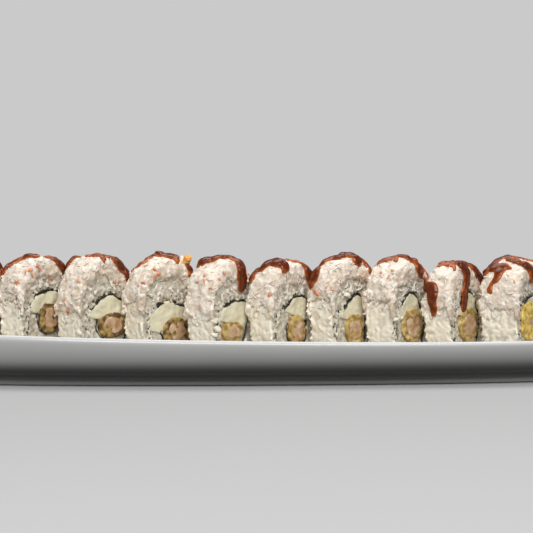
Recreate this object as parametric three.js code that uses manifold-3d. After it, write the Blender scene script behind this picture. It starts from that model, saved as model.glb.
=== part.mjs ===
import * as THREE from "three";
import { mergeVertices } from "three/addons/utils/BufferGeometryUtils.js";
import Module from "manifold-3d";

// A row of inside-out sushi roll slices on the long ceramic plate that holds them.
// Millimetres, +Z up. The origin is on the table under the middle of the plate,
// +X runs along the row and the cut faces look towards +X and -Y.

const wasm = await Module();
wasm.setup();

// Waves that cross in the lumps of the food, uneven so that no lump repeats
const WAVE_COUNTS = [1, 1.13, 0.87, 1.31];
const WAVE_SHIFTS = [1, -2.1, 1.7, 0.6];

// Plate
const PLATE_HALF_LENGTH = 182;
const PLATE_HALF_WIDTH = 57;
const PLATE_CORNER_POWER = 2.3;
const PLATE_SEGMENTS = 48;
const FLOOR_TOP = 9.5;
const UNDERSIDE = 4.4;
const RIM_HEIGHT = 19.2;
const RIM_LIP = 1.4;
const RIM_RISE = 6.5e-5;
const RIM_LOWEST_X = 100;
const FOOT_INSET = 16.5;
const FOOT_WIDTH = 4;
const FOOT_DRAFT = 0.8;

// The rim's wall, from the foot up the outside and down the inside:
// distance in from the plate's outer edge, and height
const OUTER_WALL = [[9.5, 5.8], [4.2, 9.4], [1.2, 14.2]];
const INNER_WALL = [[3.2, 18.3], [5.6, 14], [10.5, 10.8], [18, FLOOR_TOP]];

// Gap between pieces that rest on or press against each other
const GAP = 0.3;

// Edges shorter than this, left where solids cross, are closed up
const FINEST_DETAIL = 0.05;

// Points closer than this are one point
const SAME_POINT = 1e-4;

// How much longer a cutting solid is than what it cuts
const CUT_PAST = 2;

// Rice
const RICE_POWER = 2.5;
const RICE_FLAT = 1.4;
const RICE_POINTS = 28;
const RICE_STEPS = 3;
const RICE_BUMP = 0.45;
const RICE_CLEARANCE = GAP + RICE_BUMP / 2;
const GRAIN_LENGTH = 5.5;
const BUMPY_FROM = 2.5;
const BUMPY_TO = 18;

// Filling and the nori round it
const CORE_POINTS = 18;
const NORI_THICKNESS = 1;
const NORI_OPENING = 1.8;
const NORI_OPENING_TOP = 9;
const SHRIMP_POWER = 2.2;
const SHRIMP_POINTS = 16;
const SHRIMP_BUMP = 0.5;
const CRUST_LUMP = 4.5;

// Topping
const TOPPING_THICKNESS = 9.5;
const TOPPING_SIDE = 1.5;
const TOPPING_OVERHANG = 1.2;
const TOPPING_POWER = 2.3;
const TOPPING_POINTS = 20;
const TOPPING_MIDDLE = 25;
const TOPPING_LUMP = 0.7;
const TOPPING_LUMP_SIZE = 9;
const TOPPING_EDGE = 26;
const TOPPING_SKIRT = 3;
const TOPPING_ROUND = 2.8;
const ROUND_STEPS = 2;
const RAGGED_DEPTH = 2.2;
const RAGGED_SIZE = 11;
const RAGGED_ALONG = 3;
const RAGGED_ACROSS = 9;

// Sauce
const SAUCE_RADIUS = 1.5;
const SAUCE_POINTS = 5;
const SAUCE_STEP = 5;
const FEWEST_STEPS = 3;
const SAUCE_SUNK = 0.55;
const SAUCE_PULL = 0.97;
const DRIP_ALONG = 0.8;
const DRIP_ACROSS = 0.93;

// One entry for each slice, from the left end of the row.
// x, y: middle of the slice on the plate; turn: degrees that its axis turns from +X towards -Y;
// thick, wide, top: its length along the axis, its width and its height with the topping;
// core: outline of the nori, as [across, up] from its lower left corner over the top;
// cream: left edge and underside of the cream cheese;
// shrimp: middle of the shrimp, then its half width and half height;
// ribbons: lines of sauce over the topping, each point as [across, along];
// drips: sauce running down, as [across, along, from height, to height].
const SLICES = [
  {
    x: -137.1, y: 0.2, turn: 38, thick: 16, wide: 32, top: 48.6,
    core: [[-9.5, 5.5], [-10.5, 13], [-9.6, 20], [-5, 25.5], [1.5, 29.5], [7, 28.5], [9.8, 23],
      [9.8, 14], [8, 6], [0, 4]],
    cream: [-3, 19.5],
    shrimp: [1.6, 13.6, 6.3, 7.2],
    ribbons: [[[-12, -3], [-4, 2], [6, 4], [13, 6]]],
    drips: [[8, 8.6, 44, 36]],
  },
  {
    x: -108.8, y: 0, turn: 41.8, thick: 14, wide: 30, top: 49.8,
    core: [[-9.4, 7], [-10.4, 13], [-10.6, 18.5], [-9.6, 24.9], [-7.2, 28.5], [-2.9, 31],
      [4, 32.7], [9.8, 31], [12, 26], [12, 17], [9.5, 9], [0, 5.5]],
    cream: [-7.2, 21.6],
    shrimp: [3.2, 19, 7, 7],
    ribbons: [[[-13.3, -2.3], [-8, 1], [-1, 3]], [[2, 5.5], [8, 6.3], [12.6, 6.6]]],
    drips: [],
  },
  {
    x: -80.6, y: 0.5, turn: 49.3, thick: 16, wide: 32, top: 49.8,
    core: [[-7, 5.5], [-8.6, 10.5], [-10.8, 16.1], [-11, 21], [-7.3, 24.6], [-3.3, 28.4],
      [0.2, 30.2], [4.4, 30.6], [8.2, 28.9], [12, 25], [13.4, 17], [11.5, 9], [3, 4.5]],
    cream: [-7.3, 18.8],
    shrimp: [3.7, 15.7, 8.3, 5.8],
    ribbons: [[[-9.9, 4.6], [0, 1.5], [6.3, 3.3], [12.1, 5], [15, 5.4]]],
    drips: [[13.4, 7.9, 44, 37]],
  },
  {
    x: -49.6, y: 1.8, turn: 53, thick: 14, wide: 33, top: 49.6,
    core: [[-9.5, 5], [-11.6, 10], [-12.6, 15.5], [-12.4, 19.7], [-10, 22.6], [-6, 26],
      [-1.3, 27.4], [4.5, 26.2], [9.3, 24], [12.6, 20], [13, 12], [10, 6], [1, 3.8]],
    cream: [-10.6, 12.7],
    shrimp: [3.4, 12.7, 8, 6.4],
    ribbons: [[[-12.3, -2.3], [-8.2, 2.4], [0, 4.6], [6, 3]], [[12.7, 3.4], [16.2, 1.4]]],
    drips: [],
  },
  {
    x: -21.1, y: -1, turn: 44.7, thick: 16, wide: 32, top: 48.4,
    core: [[-9.5, 5], [-10.7, 10], [-10.7, 17.4], [-10, 22], [-6.9, 24.7], [-3.9, 26.2],
      [1, 27.6], [6.6, 27.5], [9.5, 25.8], [10, 20.6], [9, 15], [7.2, 8.5], [0, 4]],
    cream: [-9.4, 17.4],
    shrimp: [-1.9, 12.5, 6.9, 4.9],
    ribbons: [[[-12.4, -3.3], [-7.6, -0.6], [-1, 3], [3, 6], [3.4, 8]]],
    drips: [[3.2, 8.6, 46, 32]],
  },
  {
    x: 7.1, y: 0, turn: 48.1, thick: 14.6, wide: 30, top: 47.5,
    core: [[-11, 5], [-12, 10], [-10.8, 17.5], [-9.2, 21], [-4.6, 24.6], [0.9, 28.9],
      [4.5, 29.6], [8, 29], [10, 27], [10, 20], [9.6, 10], [7, 4.8], [-2, 4]],
    cream: [-1.9, 20.3],
    shrimp: [2.5, 13.1, 5.8, 7.3],
    ribbons: [[[-14.6, -4.7], [-10.4, -1.5], [-6, 3], [-4.6, 6]], [[-2, 4], [3, 3], [8, 5], [9, 7]]],
    drips: [[10, 7.9, 45, 32.5]],
  },
  {
    x: 36.3, y: 0.5, turn: 49.7, thick: 14, wide: 31, top: 49.4,
    core: [[-10.5, 4.8], [-12.2, 10], [-12.2, 15.5], [-11.4, 19], [-9, 22.3], [-3.9, 26.6],
      [0, 29.6], [2.6, 30.6], [5.9, 29.3], [7.8, 24.7], [8.6, 15], [7.6, 6.5], [0, 4]],
    cream: [-6.4, 18],
    shrimp: [0.6, 13.5, 6.3, 7.3],
    ribbons: [[[-14.4, -5.3], [-9.8, -1.8], [-1, -0.4], [4, 2], [8, 4], [13, 6.2]]],
    drips: [],
  },
  {
    x: 62.8, y: 0, turn: 45.1, thick: 15.6, wide: 31, top: 48,
    core: [[-10.5, 4.8], [-12.2, 9.5], [-12.2, 15], [-10.8, 21.5], [-7.8, 25.6], [-3.7, 30],
      [-0.5, 31.2], [3.6, 30], [6.9, 25.6], [9.6, 20.3], [10.2, 12.5], [8.2, 6], [0, 4]],
    cream: [-8.6, 17.5],
    shrimp: [0.3, 15.1, 8, 8],
    ribbons: [[[-12.2, -4.2], [-7.5, -1.7], [0, -0.4], [6.4, 1.2], [11.2, 1.6], [15, 2.4]]],
    drips: [],
  },
  {
    x: 89.7, y: 0, turn: 43.4, thick: 14, wide: 31, top: 46.1,
    core: [[-9.6, 4.8], [-11.2, 9.5], [-11.6, 14.2], [-10.2, 19.4], [-6, 24.6], [-3, 28.6],
      [-0.6, 31], [2.2, 31.8], [5.9, 30.3], [8.6, 25.4], [11, 19.7], [10.9, 11.6], [9, 6], [0, 4]],
    cream: [-6.4, 19.7],
    shrimp: [1.3, 15.2, 7.9, 8.1],
    ribbons: [[[-7.8, -2.4], [-4, 3], [-1, 6]], [[-3, -1], [3, 2.5], [8.8, 4.7], [13.4, 6]]],
    drips: [[-3.6, 7.8, 43, 23], [-17.6, -2.2, 35, 20]],
  },
  {
    x: 119.3, y: 0.2, turn: 41.9, thick: 19, wide: 33, top: 48.1,
    core: [[-10.8, 5.6], [-12.8, 10], [-13.2, 17.5], [-12.2, 24], [-7, 28], [0, 29.4], [5, 28.8],
      [9.5, 26], [11, 20], [11, 12], [8.5, 6], [0, 4]],
    cream: [-1, 15],
    shrimp: [-3.6, 17.2, 9.2, 9],
    ribbons: [[[-10.7, -4], [-4, -1], [6, 1], [14, 3.2]], [[-14.6, -5.4], [-13.4, 0], [-12.8, 5]]],
    drips: [[-17.4, -2.6, 40, 31]],
  },
];

const COLOURS = {
  plate: new THREE.MeshStandardMaterial({ color: 0xe9e8e4, roughness: 0.16 }),
  rice: new THREE.MeshStandardMaterial({ color: 0xd9d0b8, roughness: 0.5 }),
  nori: new THREE.MeshStandardMaterial({ color: 0x14170f, roughness: 0.6 }),
  cream: new THREE.MeshStandardMaterial({ color: 0xe0d8bd, roughness: 0.45 }),
  shrimp: new THREE.MeshStandardMaterial({ color: 0xa98548, roughness: 0.6 }),
  topping: new THREE.MeshStandardMaterial({ color: 0xe6d5c4, roughness: 0.5 }),
};

// Closed geometry to solid and back

function toSolid(geometry) {
  const bare = geometry.index ? geometry.toNonIndexed() : geometry.clone();
  bare.deleteAttribute("normal");
  bare.deleteAttribute("uv");
  const merged = mergeVertices(bare, SAME_POINT);
  return new wasm.Manifold(new wasm.Mesh({
    numProp: 3,
    vertProperties: new Float32Array(merged.attributes.position.array),
    triVerts: new Uint32Array(merged.index.array),
  }));
}

function toGeometry(solid) {
  const mesh = solid.getMesh();
  const geometry = new THREE.BufferGeometry();
  geometry.setAttribute("position", new THREE.BufferAttribute(mesh.vertProperties, 3));
  geometry.setIndex(new THREE.BufferAttribute(mesh.triVerts, 1));
  geometry.computeVertexNormals();
  return geometry;
}

function largest(solid) {
  const bodies = solid.decompose();
  bodies.sort((one, other) => other.volume() - one.volume());
  return bodies[0].simplify(FINEST_DETAIL);
}

// Outlines of the roll's section, as points across and up

function oval(halfWidth, halfHeight, power, count) {
  return Array.from({ length: count }, (_, i) => {
    const angle = (2 * Math.PI * i) / count;
    const c = Math.cos(angle);
    const s = Math.sin(angle);
    return new THREE.Vector2(
      halfWidth * Math.sign(c) * Math.abs(c) ** (2 / power),
      halfHeight * Math.sign(s) * Math.abs(s) ** (2 / power),
    );
  });
}

function riceOutline(slice, grow) {
  const halfHeight = (slice.top - TOPPING_THICKNESS + RICE_FLAT) / 2;
  const outline = oval(slice.wide / 2 + grow, halfHeight + grow, RICE_POWER, RICE_POINTS);
  return outline.map(({ x, y }) => new THREE.Vector2(x, Math.max(y + halfHeight - RICE_FLAT, -grow)));
}

// A smooth line through the core's points, and each layer's own distance inside it
function coreOutline(slice, inset) {
  const knots = slice.core.map(([across, up]) => new THREE.Vector3(across, up, 0));
  const line = new THREE.CatmullRomCurve3(knots, true);
  return Array.from({ length: CORE_POINTS }, (_, i) => {
    const at = line.getPointAt(i / CORE_POINTS);
    const along = line.getTangentAt(i / CORE_POINTS);
    return new THREE.Vector2(at.x + inset * along.y, at.y - inset * along.x);
  });
}

function toppingHeight(slice, across) {
  const share = Math.min(Math.abs(across) / (slice.wide / 2 + TOPPING_SIDE), 1);
  const rise = (1 - share ** TOPPING_POWER) ** (1 / TOPPING_POWER);
  return TOPPING_MIDDLE + (slice.top - TOPPING_MIDDLE) * rise;
}

function toppingOutline(slice) {
  const halfWidth = slice.wide / 2 + TOPPING_SIDE;
  const round = oval(halfWidth, slice.top - TOPPING_MIDDLE, TOPPING_POWER, TOPPING_POINTS);
  const arch = round.filter((point) => point.y > -FINEST_DETAIL);
  const foot = TOPPING_MIDDLE - TOPPING_SKIRT;
  return [
    ...arch.map(({ x, y }) => new THREE.Vector2(x, y + TOPPING_MIDDLE)),
    new THREE.Vector2(-halfWidth, foot),
    new THREE.Vector2(halfWidth, foot),
  ];
}

// Solids in a slice's own frame: x along its axis, y across the section, z up

const ACROSS_UP_ALONG = new THREE.Matrix4().makeBasis(
  new THREE.Vector3(0, 1, 0),
  new THREE.Vector3(0, 0, 1),
  new THREE.Vector3(1, 0, 0),
);

function section(outline, depth, steps = 1, round = 0) {
  const geometry = new THREE.ExtrudeGeometry(new THREE.Shape(outline), {
    depth: depth - 2 * round,
    steps,
    bevelEnabled: round > 0,
    bevelThickness: round,
    bevelSize: round,
    bevelOffset: -round,
    bevelSegments: ROUND_STEPS,
  });
  geometry.translate(0, 0, round - depth / 2);
  return geometry.applyMatrix4(ACROSS_UP_ALONG);
}

function lump(x, y, z, size, seed) {
  const [a, b, c, d] = [x, y, z, x].map((at, i) => (
    (2 * Math.PI * WAVE_COUNTS[i] * at) / size + WAVE_SHIFTS[i] * seed
  ));
  return (Math.sin(a) * Math.cos(b) + Math.sin(c) * Math.cos(d)) / 2;
}

// Moves each point towards or away from the axis that runs through the section at height middle.
function roughen(geometry, middle, amount, size, seed) {
  const place = geometry.attributes.position;
  for (let i = 0; i < place.count; i += 1) {
    const [x, y, z] = [place.getX(i), place.getY(i), place.getZ(i)];
    const reach = Math.hypot(y, z - middle);
    const push = (amount(z) * lump(x, y, z, size, seed)) / Math.max(reach, 1);
    place.setXYZ(i, x, y + y * push, z + (z - middle) * push);
  }
  return geometry;
}

function block(low, high) {
  const box = new THREE.BoxGeometry(high[0] - low[0], high[1] - low[1], high[2] - low[2]);
  box.translate((low[0] + high[0]) / 2, (low[1] + high[1]) / 2, (low[2] + high[2]) / 2);
  return toSolid(box);
}

function filling(slice) {
  return toSolid(section(coreOutline(slice, NORI_THICKNESS + GAP), slice.thick));
}

// The nori wrap is open in its underside, where the rice reaches in beside the filling.
function noriOpening(slice, grow) {
  const middle = (slice.core[0][0] + slice.core.at(-1)[0]) / 2;
  const reach = NORI_OPENING + grow;
  return block([-slice.thick, middle - reach, 0], [slice.thick, middle + reach, NORI_OPENING_TOP]);
}

function creamSpace(slice, grow) {
  const [left, under] = slice.cream;
  return block([-slice.thick, left - grow, under - grow], [slice.thick, slice.wide, slice.top]);
}

function shrimpSolid(slice, grow) {
  const [across, up, halfWidth, halfHeight] = slice.shrimp;
  const outline = oval(halfWidth + grow, halfHeight + grow, SHRIMP_POWER, SHRIMP_POINTS);
  const bar = section(outline, slice.thick + 2 * grow, 2);
  roughen(bar, 0, () => SHRIMP_BUMP, CRUST_LUMP, slice.turn);
  return toSolid(bar.translate(0, across, up));
}

// Layers of one slice

function riceLayer(slice) {
  const middle = (slice.top - TOPPING_THICKNESS) / 2;
  const showing = (z) => (z > BUMPY_FROM && z < BUMPY_TO ? 2 * RICE_BUMP : 0);
  const outside = section(riceOutline(slice, 0), slice.thick, RICE_STEPS);
  const body = toSolid(roughen(outside, middle, showing, GRAIN_LENGTH, slice.x));
  const hole = toSolid(section(coreOutline(slice, -GAP), slice.thick + CUT_PAST));
  const gate = toSolid(section(coreOutline(slice, -GAP), slice.thick)).intersect(noriOpening(slice, 0));
  const inner = filling(slice).add(gate);
  const beside = inner.subtract(creamSpace(slice, GAP)).subtract(shrimpSolid(slice, 2 * GAP));
  return largest(body.subtract(hole).add(largest(beside)));
}

function noriLayer(slice) {
  const outer = toSolid(section(coreOutline(slice, 0), slice.thick));
  const inner = toSolid(section(coreOutline(slice, NORI_THICKNESS), slice.thick + CUT_PAST));
  return largest(outer.subtract(inner).subtract(noriOpening(slice, GAP)));
}

function creamLayer(slice) {
  return largest(filling(slice).intersect(creamSpace(slice, 0)).subtract(shrimpSolid(slice, 2 * GAP)));
}

function shrimpLayer(slice) {
  return largest(shrimpSolid(slice, 0).intersect(filling(slice)));
}

function sauceLine(points) {
  const path = new THREE.CatmullRomCurve3(points);
  const round = new THREE.Shape(oval(SAUCE_RADIUS, SAUCE_RADIUS, 2, SAUCE_POINTS));
  const steps = Math.max(FEWEST_STEPS, Math.round(path.getLength() / SAUCE_STEP));
  return toSolid(new THREE.ExtrudeGeometry(round, { steps, extrudePath: path }));
}

function sauceRibbon(slice, points) {
  return sauceLine(points.map(([across, along]) => {
    const height = toppingHeight(slice, across) - SAUCE_RADIUS * SAUCE_SUNK;
    return new THREE.Vector3(along, across * SAUCE_PULL, height);
  }));
}

// A drip starts a little inside the topping, so that it grows out of it.
function sauceDrip([across, along, from, to]) {
  const middle = (from + to) / 2;
  return sauceLine([
    new THREE.Vector3(along * DRIP_ALONG, across * DRIP_ACROSS, from),
    new THREE.Vector3(along, across, (from + middle) / 2),
    new THREE.Vector3(along, across, middle),
    new THREE.Vector3(along, across, to),
  ]);
}

function raggedEdge(slice, depth) {
  const under = new THREE.BoxGeometry(2 * depth, 2 * slice.wide, TOPPING_EDGE, RAGGED_ALONG, RAGGED_ACROSS);
  under.translate(0, 0, TOPPING_EDGE / 2);
  const place = under.attributes.position;
  for (let i = 0; i < place.count; i += 1) {
    const rise = RAGGED_DEPTH * lump(place.getX(i), place.getY(i), 0, RAGGED_SIZE, slice.turn);
    place.setZ(i, place.getZ(i) + rise);
  }
  return toSolid(under);
}

function toppingLayer(slice) {
  const depth = slice.thick + 2 * TOPPING_OVERHANG;
  const outside = section(toppingOutline(slice), depth, 2, TOPPING_ROUND);
  roughen(outside, TOPPING_MIDDLE, () => 2 * TOPPING_LUMP, TOPPING_LUMP_SIZE, slice.x + 1);
  const rice = riceOutline(slice, RICE_CLEARANCE);
  let topping = toSolid(outside).subtract(toSolid(section(rice, depth + CUT_PAST)));
  topping = topping.subtract(raggedEdge(slice, depth));
  for (const ribbon of slice.ribbons) {
    topping = topping.add(sauceRibbon(slice, ribbon));
  }
  for (const drip of slice.drips) {
    topping = topping.add(sauceDrip(drip));
  }
  return largest(topping.subtract(toSolid(section(rice, slice.thick + 2 * GAP))));
}

const LAYERS = [
  ["rice", riceLayer, COLOURS.rice],
  ["nori", noriLayer, COLOURS.nori],
  ["cream_cheese", creamLayer, COLOURS.cream],
  ["shrimp_tempura", shrimpLayer, COLOURS.shrimp],
  ["crab_topping", toppingLayer, COLOURS.topping],
];

function makeSlice(slice, number) {
  const group = new THREE.Group();
  for (const [name, layer, material] of LAYERS) {
    const mesh = new THREE.Mesh(toGeometry(layer(slice)), material);
    mesh.name = `${name}_${number}`;
    group.add(mesh);
  }
  group.position.set(slice.x, slice.y, FLOOR_TOP + GAP);
  group.rotation.z = THREE.MathUtils.degToRad(-slice.turn);
  return group;
}

// The plate is turned as a round dish, then its circles are drawn out to the long oval
// and its wall is lifted towards the ends.

function rimRise(x) {
  return RIM_RISE * (x - RIM_LOWEST_X) ** 2;
}

function plateProfile() {
  const edge = PLATE_HALF_WIDTH;
  const footOutside = edge - FOOT_INSET;
  const footInside = footOutside - FOOT_WIDTH;
  return [
    [0, UNDERSIDE],
    [footInside - FOOT_DRAFT, UNDERSIDE],
    [footInside, 0],
    [footOutside, 0],
    [footOutside + FOOT_DRAFT, UNDERSIDE],
    ...OUTER_WALL.map(([inset, up]) => [edge - inset, up]),
    [edge, RIM_HEIGHT - RIM_LIP],
    [edge - RIM_LIP, RIM_HEIGHT],
    ...INNER_WALL.map(([inset, up]) => [edge - inset, up]),
    [0, FLOOR_TOP],
  ];
}

function makePlate() {
  const profile = plateProfile().map(([radius, up]) => new THREE.Vector2(radius, up));
  const dish = new THREE.LatheGeometry(profile, PLATE_SEGMENTS);
  dish.rotateX(Math.PI / 2);
  const place = dish.attributes.position;
  const power = 2 / PLATE_CORNER_POWER;
  for (let i = 0; i < place.count; i += 1) {
    const [x, y, z] = [place.getX(i), place.getY(i), place.getZ(i)];
    const radius = Math.hypot(x, y);
    const reach = radius < FINEST_DETAIL ? 0 : PLATE_HALF_LENGTH - PLATE_HALF_WIDTH + radius;
    const c = Math.cos(Math.atan2(y, x));
    const s = Math.sin(Math.atan2(y, x));
    const along = reach * Math.sign(c) * Math.abs(c) ** power;
    const across = radius * Math.sign(s) * Math.abs(s) ** power;
    const lift = Math.max(0, (z - FLOOR_TOP) / (RIM_HEIGHT - FLOOR_TOP));
    place.setXYZ(i, along, across, z + rimRise(along) * lift);
  }
  const mesh = new THREE.Mesh(toGeometry(toSolid(dish)), COLOURS.plate);
  mesh.name = "plate";
  return mesh;
}

const sushi = new THREE.Group();
sushi.add(makePlate());
SLICES.forEach((slice, number) => sushi.add(makeSlice(slice, number)));

export default sushi;
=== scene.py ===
"""Slices of an inside-out shrimp roll in a row on their long white plate.

Every size is in millimetres in the roll's own frame (x along the roll, y across the
section, z up from the plate) until a piece is finished, and in metres after that.
"""

import logging
import math
import random
from bisect import bisect_left
from dataclasses import dataclass
from enum import Enum
from functools import cached_property
from typing import Callable, Iterable

import bmesh
import bpy
from mathutils import Matrix, Vector, noise
from mathutils.bvhtree import BVHTree


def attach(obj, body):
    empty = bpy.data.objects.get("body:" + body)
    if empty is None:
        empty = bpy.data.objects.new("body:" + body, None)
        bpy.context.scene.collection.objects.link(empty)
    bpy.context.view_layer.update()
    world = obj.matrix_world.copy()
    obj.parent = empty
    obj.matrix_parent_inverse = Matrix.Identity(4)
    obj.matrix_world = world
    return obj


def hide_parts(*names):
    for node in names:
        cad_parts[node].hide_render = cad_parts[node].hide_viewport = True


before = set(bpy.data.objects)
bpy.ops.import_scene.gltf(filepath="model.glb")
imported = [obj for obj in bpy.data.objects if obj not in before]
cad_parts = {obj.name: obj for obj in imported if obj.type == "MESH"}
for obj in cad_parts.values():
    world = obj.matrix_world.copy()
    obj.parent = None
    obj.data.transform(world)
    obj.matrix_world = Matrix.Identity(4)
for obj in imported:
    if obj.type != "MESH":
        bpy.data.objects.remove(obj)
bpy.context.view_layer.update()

LOG = logging.getLogger("sushi")
MM = 0.001
SEAT = 9.8
SHRIMP_POWER = 2.2

Shape = bmesh.types.BMesh
Vert = bmesh.types.BMVert
Mesh = bpy.types.Mesh
Socket = bpy.types.NodeSocket
Triple = tuple[float, float, float]
Colour = Triple
Pair = tuple[float, float]
Hit = tuple[Vector, Vector]
Stroke = tuple[Triple, ...]


class Side(Enum):
    """The two cut faces of a slice, by the direction that each looks along the roll."""

    SHOWN = 1
    HIDDEN = -1


class Slot(Enum):
    """The record's material slots."""

    PLATE = "plate"
    RICE = "rice"
    NORI = "nori"
    CREAM = "cream_cheese"
    BATTER = "shrimp_tempura"
    CRAB = "crab_topping"
    SHRIMP = "shrimp_meat"
    FLECK = "crab_red"
    SAUCE = "sauce"

    @property
    def node(self) -> str:
        """What the CAD nodes with this slot are called, without their number."""
        inside = {Slot.SHRIMP: Slot.BATTER, Slot.FLECK: Slot.CRAB, Slot.SAUCE: Slot.CRAB}
        return inside.get(self, self).value


def oval_point(angle: float, half_width: float, half_height: float, power: float) -> Vector:
    """A point of a squarish oval in the section.

    Args:
        angle: Where on the oval, in radians, from the right side and up.
        half_width: Half of its width.
        half_height: Half of its height.
        power: 2 for an ellipse, and more for a squarer one.

    Returns:
        The point, with x at 0.
    """
    c, s = math.cos(angle), math.sin(angle)
    across = half_width * math.copysign(abs(c) ** (2 / power), c)
    up = half_height * math.copysign(abs(s) ** (2 / power), s)
    return Vector((0, across, up))


def smooth_line(points: Iterable[tuple[float, ...]], step: float, closed: bool = False) -> list[Vector]:
    """A smooth line through points.

    Args:
        points: Two or more points, of up to three numbers each.
        step: How far apart the line's own points are.
        closed: Whether the line comes back to its start.

    Returns:
        The line's points.
    """
    given = [Vector((*point, 0.0)[:3]) for point in points]
    if closed:
        padded = [given[-1], *given, given[0], given[1]]
    else:
        padded = [2 * given[0] - given[1], *given, 2 * given[-1] - given[-2]]
    line = []
    for before, start, end, after in zip(padded, padded[1:], padded[2:], padded[3:]):
        count = max(2, round((end - start).length / step))
        for i in range(count):
            t = i / count
            line.append(0.5 * (2 * start + (end - before) * t + (2 * before - 5 * start + 4 * end - after) * t * t
                               + (3 * start - before - 3 * end + after) * t**3))
    return line if closed else [*line, given[-1]]


@dataclass(frozen=True)
class SliceShape:
    """Where one slice stands and how large its layers are."""

    number: int
    x: float
    y: float
    turn: float
    thick: float
    wide: float
    top: float
    core: tuple[Pair, ...]
    cream: Pair
    shrimp: tuple[float, float, float, float]
    folded: bool = False
    edge: float = 24.0
    forward: float = 0.0

    rice_power: float = 2.5
    rice_flat: float = 1.4
    topping_thick: float = 9.5
    topping_side: float = 0.7
    topping_skin: float = 1.3
    topping_power: float = 2.15
    skirt: float = 4.5
    skirt_angle: float = 0.45

    @property
    def place(self) -> Matrix:
        """From the slice's own millimetres to metres in the row frame."""
        spot = Matrix.Translation(Vector((self.x, self.y, SEAT)) * MM)
        return spot @ Matrix.Rotation(math.radians(-self.turn), 4, "Z") @ Matrix.Scale(MM, 4)

    @property
    def topping_middle(self) -> float:
        """How high the topping is widest."""
        return self.edge + 3.0

    @property
    def rice_half_height(self) -> float:
        """Half of the height of the rice, before its foot is flattened."""
        return (self.top - self.topping_thick + self.rice_flat) / 2

    def rice_point(self, angle: float, grow: float = 0.0) -> Vector:
        """A point on the outside of the rice.

        Args:
            angle: Where on the outline, in radians, from the right side and up.
            grow: How far outside it.

        Returns:
            The point, with x at 0.
        """
        high = self.rice_half_height
        point = oval_point(angle, self.wide / 2 + grow, high + grow, self.rice_power)
        point.z = max(point.z + high - self.rice_flat, -min(grow, 0.0))
        return point

    def rice_depth(self, across: float, up: float) -> float:
        """How far inside the rice outline a point of the section is, roughly.

        Args:
            across: Where the point is across the section.
            up: How high it is.

        Returns:
            The depth, less than 0 outside.
        """
        high = self.rice_half_height
        share = (abs(across) / (self.wide / 2)) ** self.rice_power
        share += (abs(up - high + self.rice_flat) / high) ** self.rice_power
        return (1 - share ** (1 / self.rice_power)) * math.hypot(across, up - high)

    @cached_property
    def core_middle(self) -> Vector:
        """The middle of the nori outline."""
        sides = [across for across, _ in self.core]
        levels = [up for _, up in self.core]
        return Vector((0, (min(sides) + max(sides)) / 2, (min(levels) + max(levels)) / 2))

    @cached_property
    def core_reach(self) -> list[Pair]:
        """The nori outline about its middle.

        Returns:
            Angles in order, each with the reach there.
        """
        middle = self.core_middle
        found = []
        for point in smooth_line(self.core, 0.8, closed=True):
            across, up = point.x - middle.y, point.y - middle.z
            found.append((math.atan2(up, across), math.hypot(across, up)))
        found.sort()
        first, last = found[0], found[-1]
        return [(last[0] - 2 * math.pi, last[1]), *found, (first[0] + 2 * math.pi, first[1])]

    def core_point(self, angle: float, inset: float = 0.0) -> Vector:
        """A point on the outside of the nori.

        Args:
            angle: The angle about its middle.
            inset: How far inside it.

        Returns:
            The point, with x at 0.
        """
        angle = math.remainder(angle, 2 * math.pi)
        table = self.core_reach
        after = max(1, min(bisect_left(table, (angle, 0.0)), len(table) - 1))
        (low, near), (high, far) = table[after - 1], table[after]
        share = (angle - low) / max(high - low, 1e-6)
        reach = near + (far - near) * share - inset
        return self.core_middle + Vector((0, math.cos(angle), math.sin(angle))) * reach

    def in_rice(self, across: float, up: float, margin: float) -> bool:
        """Whether a point of the section is in the rice outline.

        Args:
            across: Where the point is across the section.
            up: How high it is.
            margin: How far inside it has to be.

        Returns:
            Whether it is.
        """
        high = self.rice_half_height
        wide = abs(across) / (self.wide / 2 - margin)
        tall = abs(up - high + self.rice_flat) / (high - margin)
        return wide**self.rice_power + tall**self.rice_power < 1 and up > margin

    def in_core(self, across: float, up: float, margin: float) -> bool:
        """Whether a point of the section is in the nori outline, margin outside it."""
        offset = Vector((0, across, up)) - self.core_middle
        edge = self.core_point(math.atan2(offset.z, offset.y), -margin)
        return offset.length < (edge - self.core_middle).length

    def in_cream(self, across: float, up: float, margin: float) -> bool:
        """Whether a point of the core is where the cream cheese is, margin outside it."""
        return across > self.cream[0] - margin and up > self.cream[1] - margin

    def in_shrimp(self, across: float, up: float, margin: float) -> bool:
        """Whether a point of the section is in the crust of the shrimp, margin outside it."""
        middle, height, half_width, half_height = self.shrimp
        return math.hypot((across - middle) / (half_width + margin), (up - height) / (half_height + margin)) < 1

    def dome_point(self, angle: float) -> Vector:
        """A point on the outside of the topping.

        Args:
            angle: The angle from its crown, beyond a quarter turn on its skirt.

        Returns:
            The point, with x at 0.
        """
        half_width = self.wide / 2 + self.topping_side
        quarter = math.pi / 2
        if abs(angle) > quarter:
            share = (abs(angle) - quarter) / self.skirt_angle
            across = half_width - share * (self.topping_side + 0.1)
            return Vector((0, math.copysign(across, angle), self.topping_middle - self.skirt * share))
        rise = self.top - self.topping_skin - self.topping_middle
        point = oval_point(quarter - angle, half_width, rise, self.topping_power)
        point.z += self.topping_middle
        return point


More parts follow.
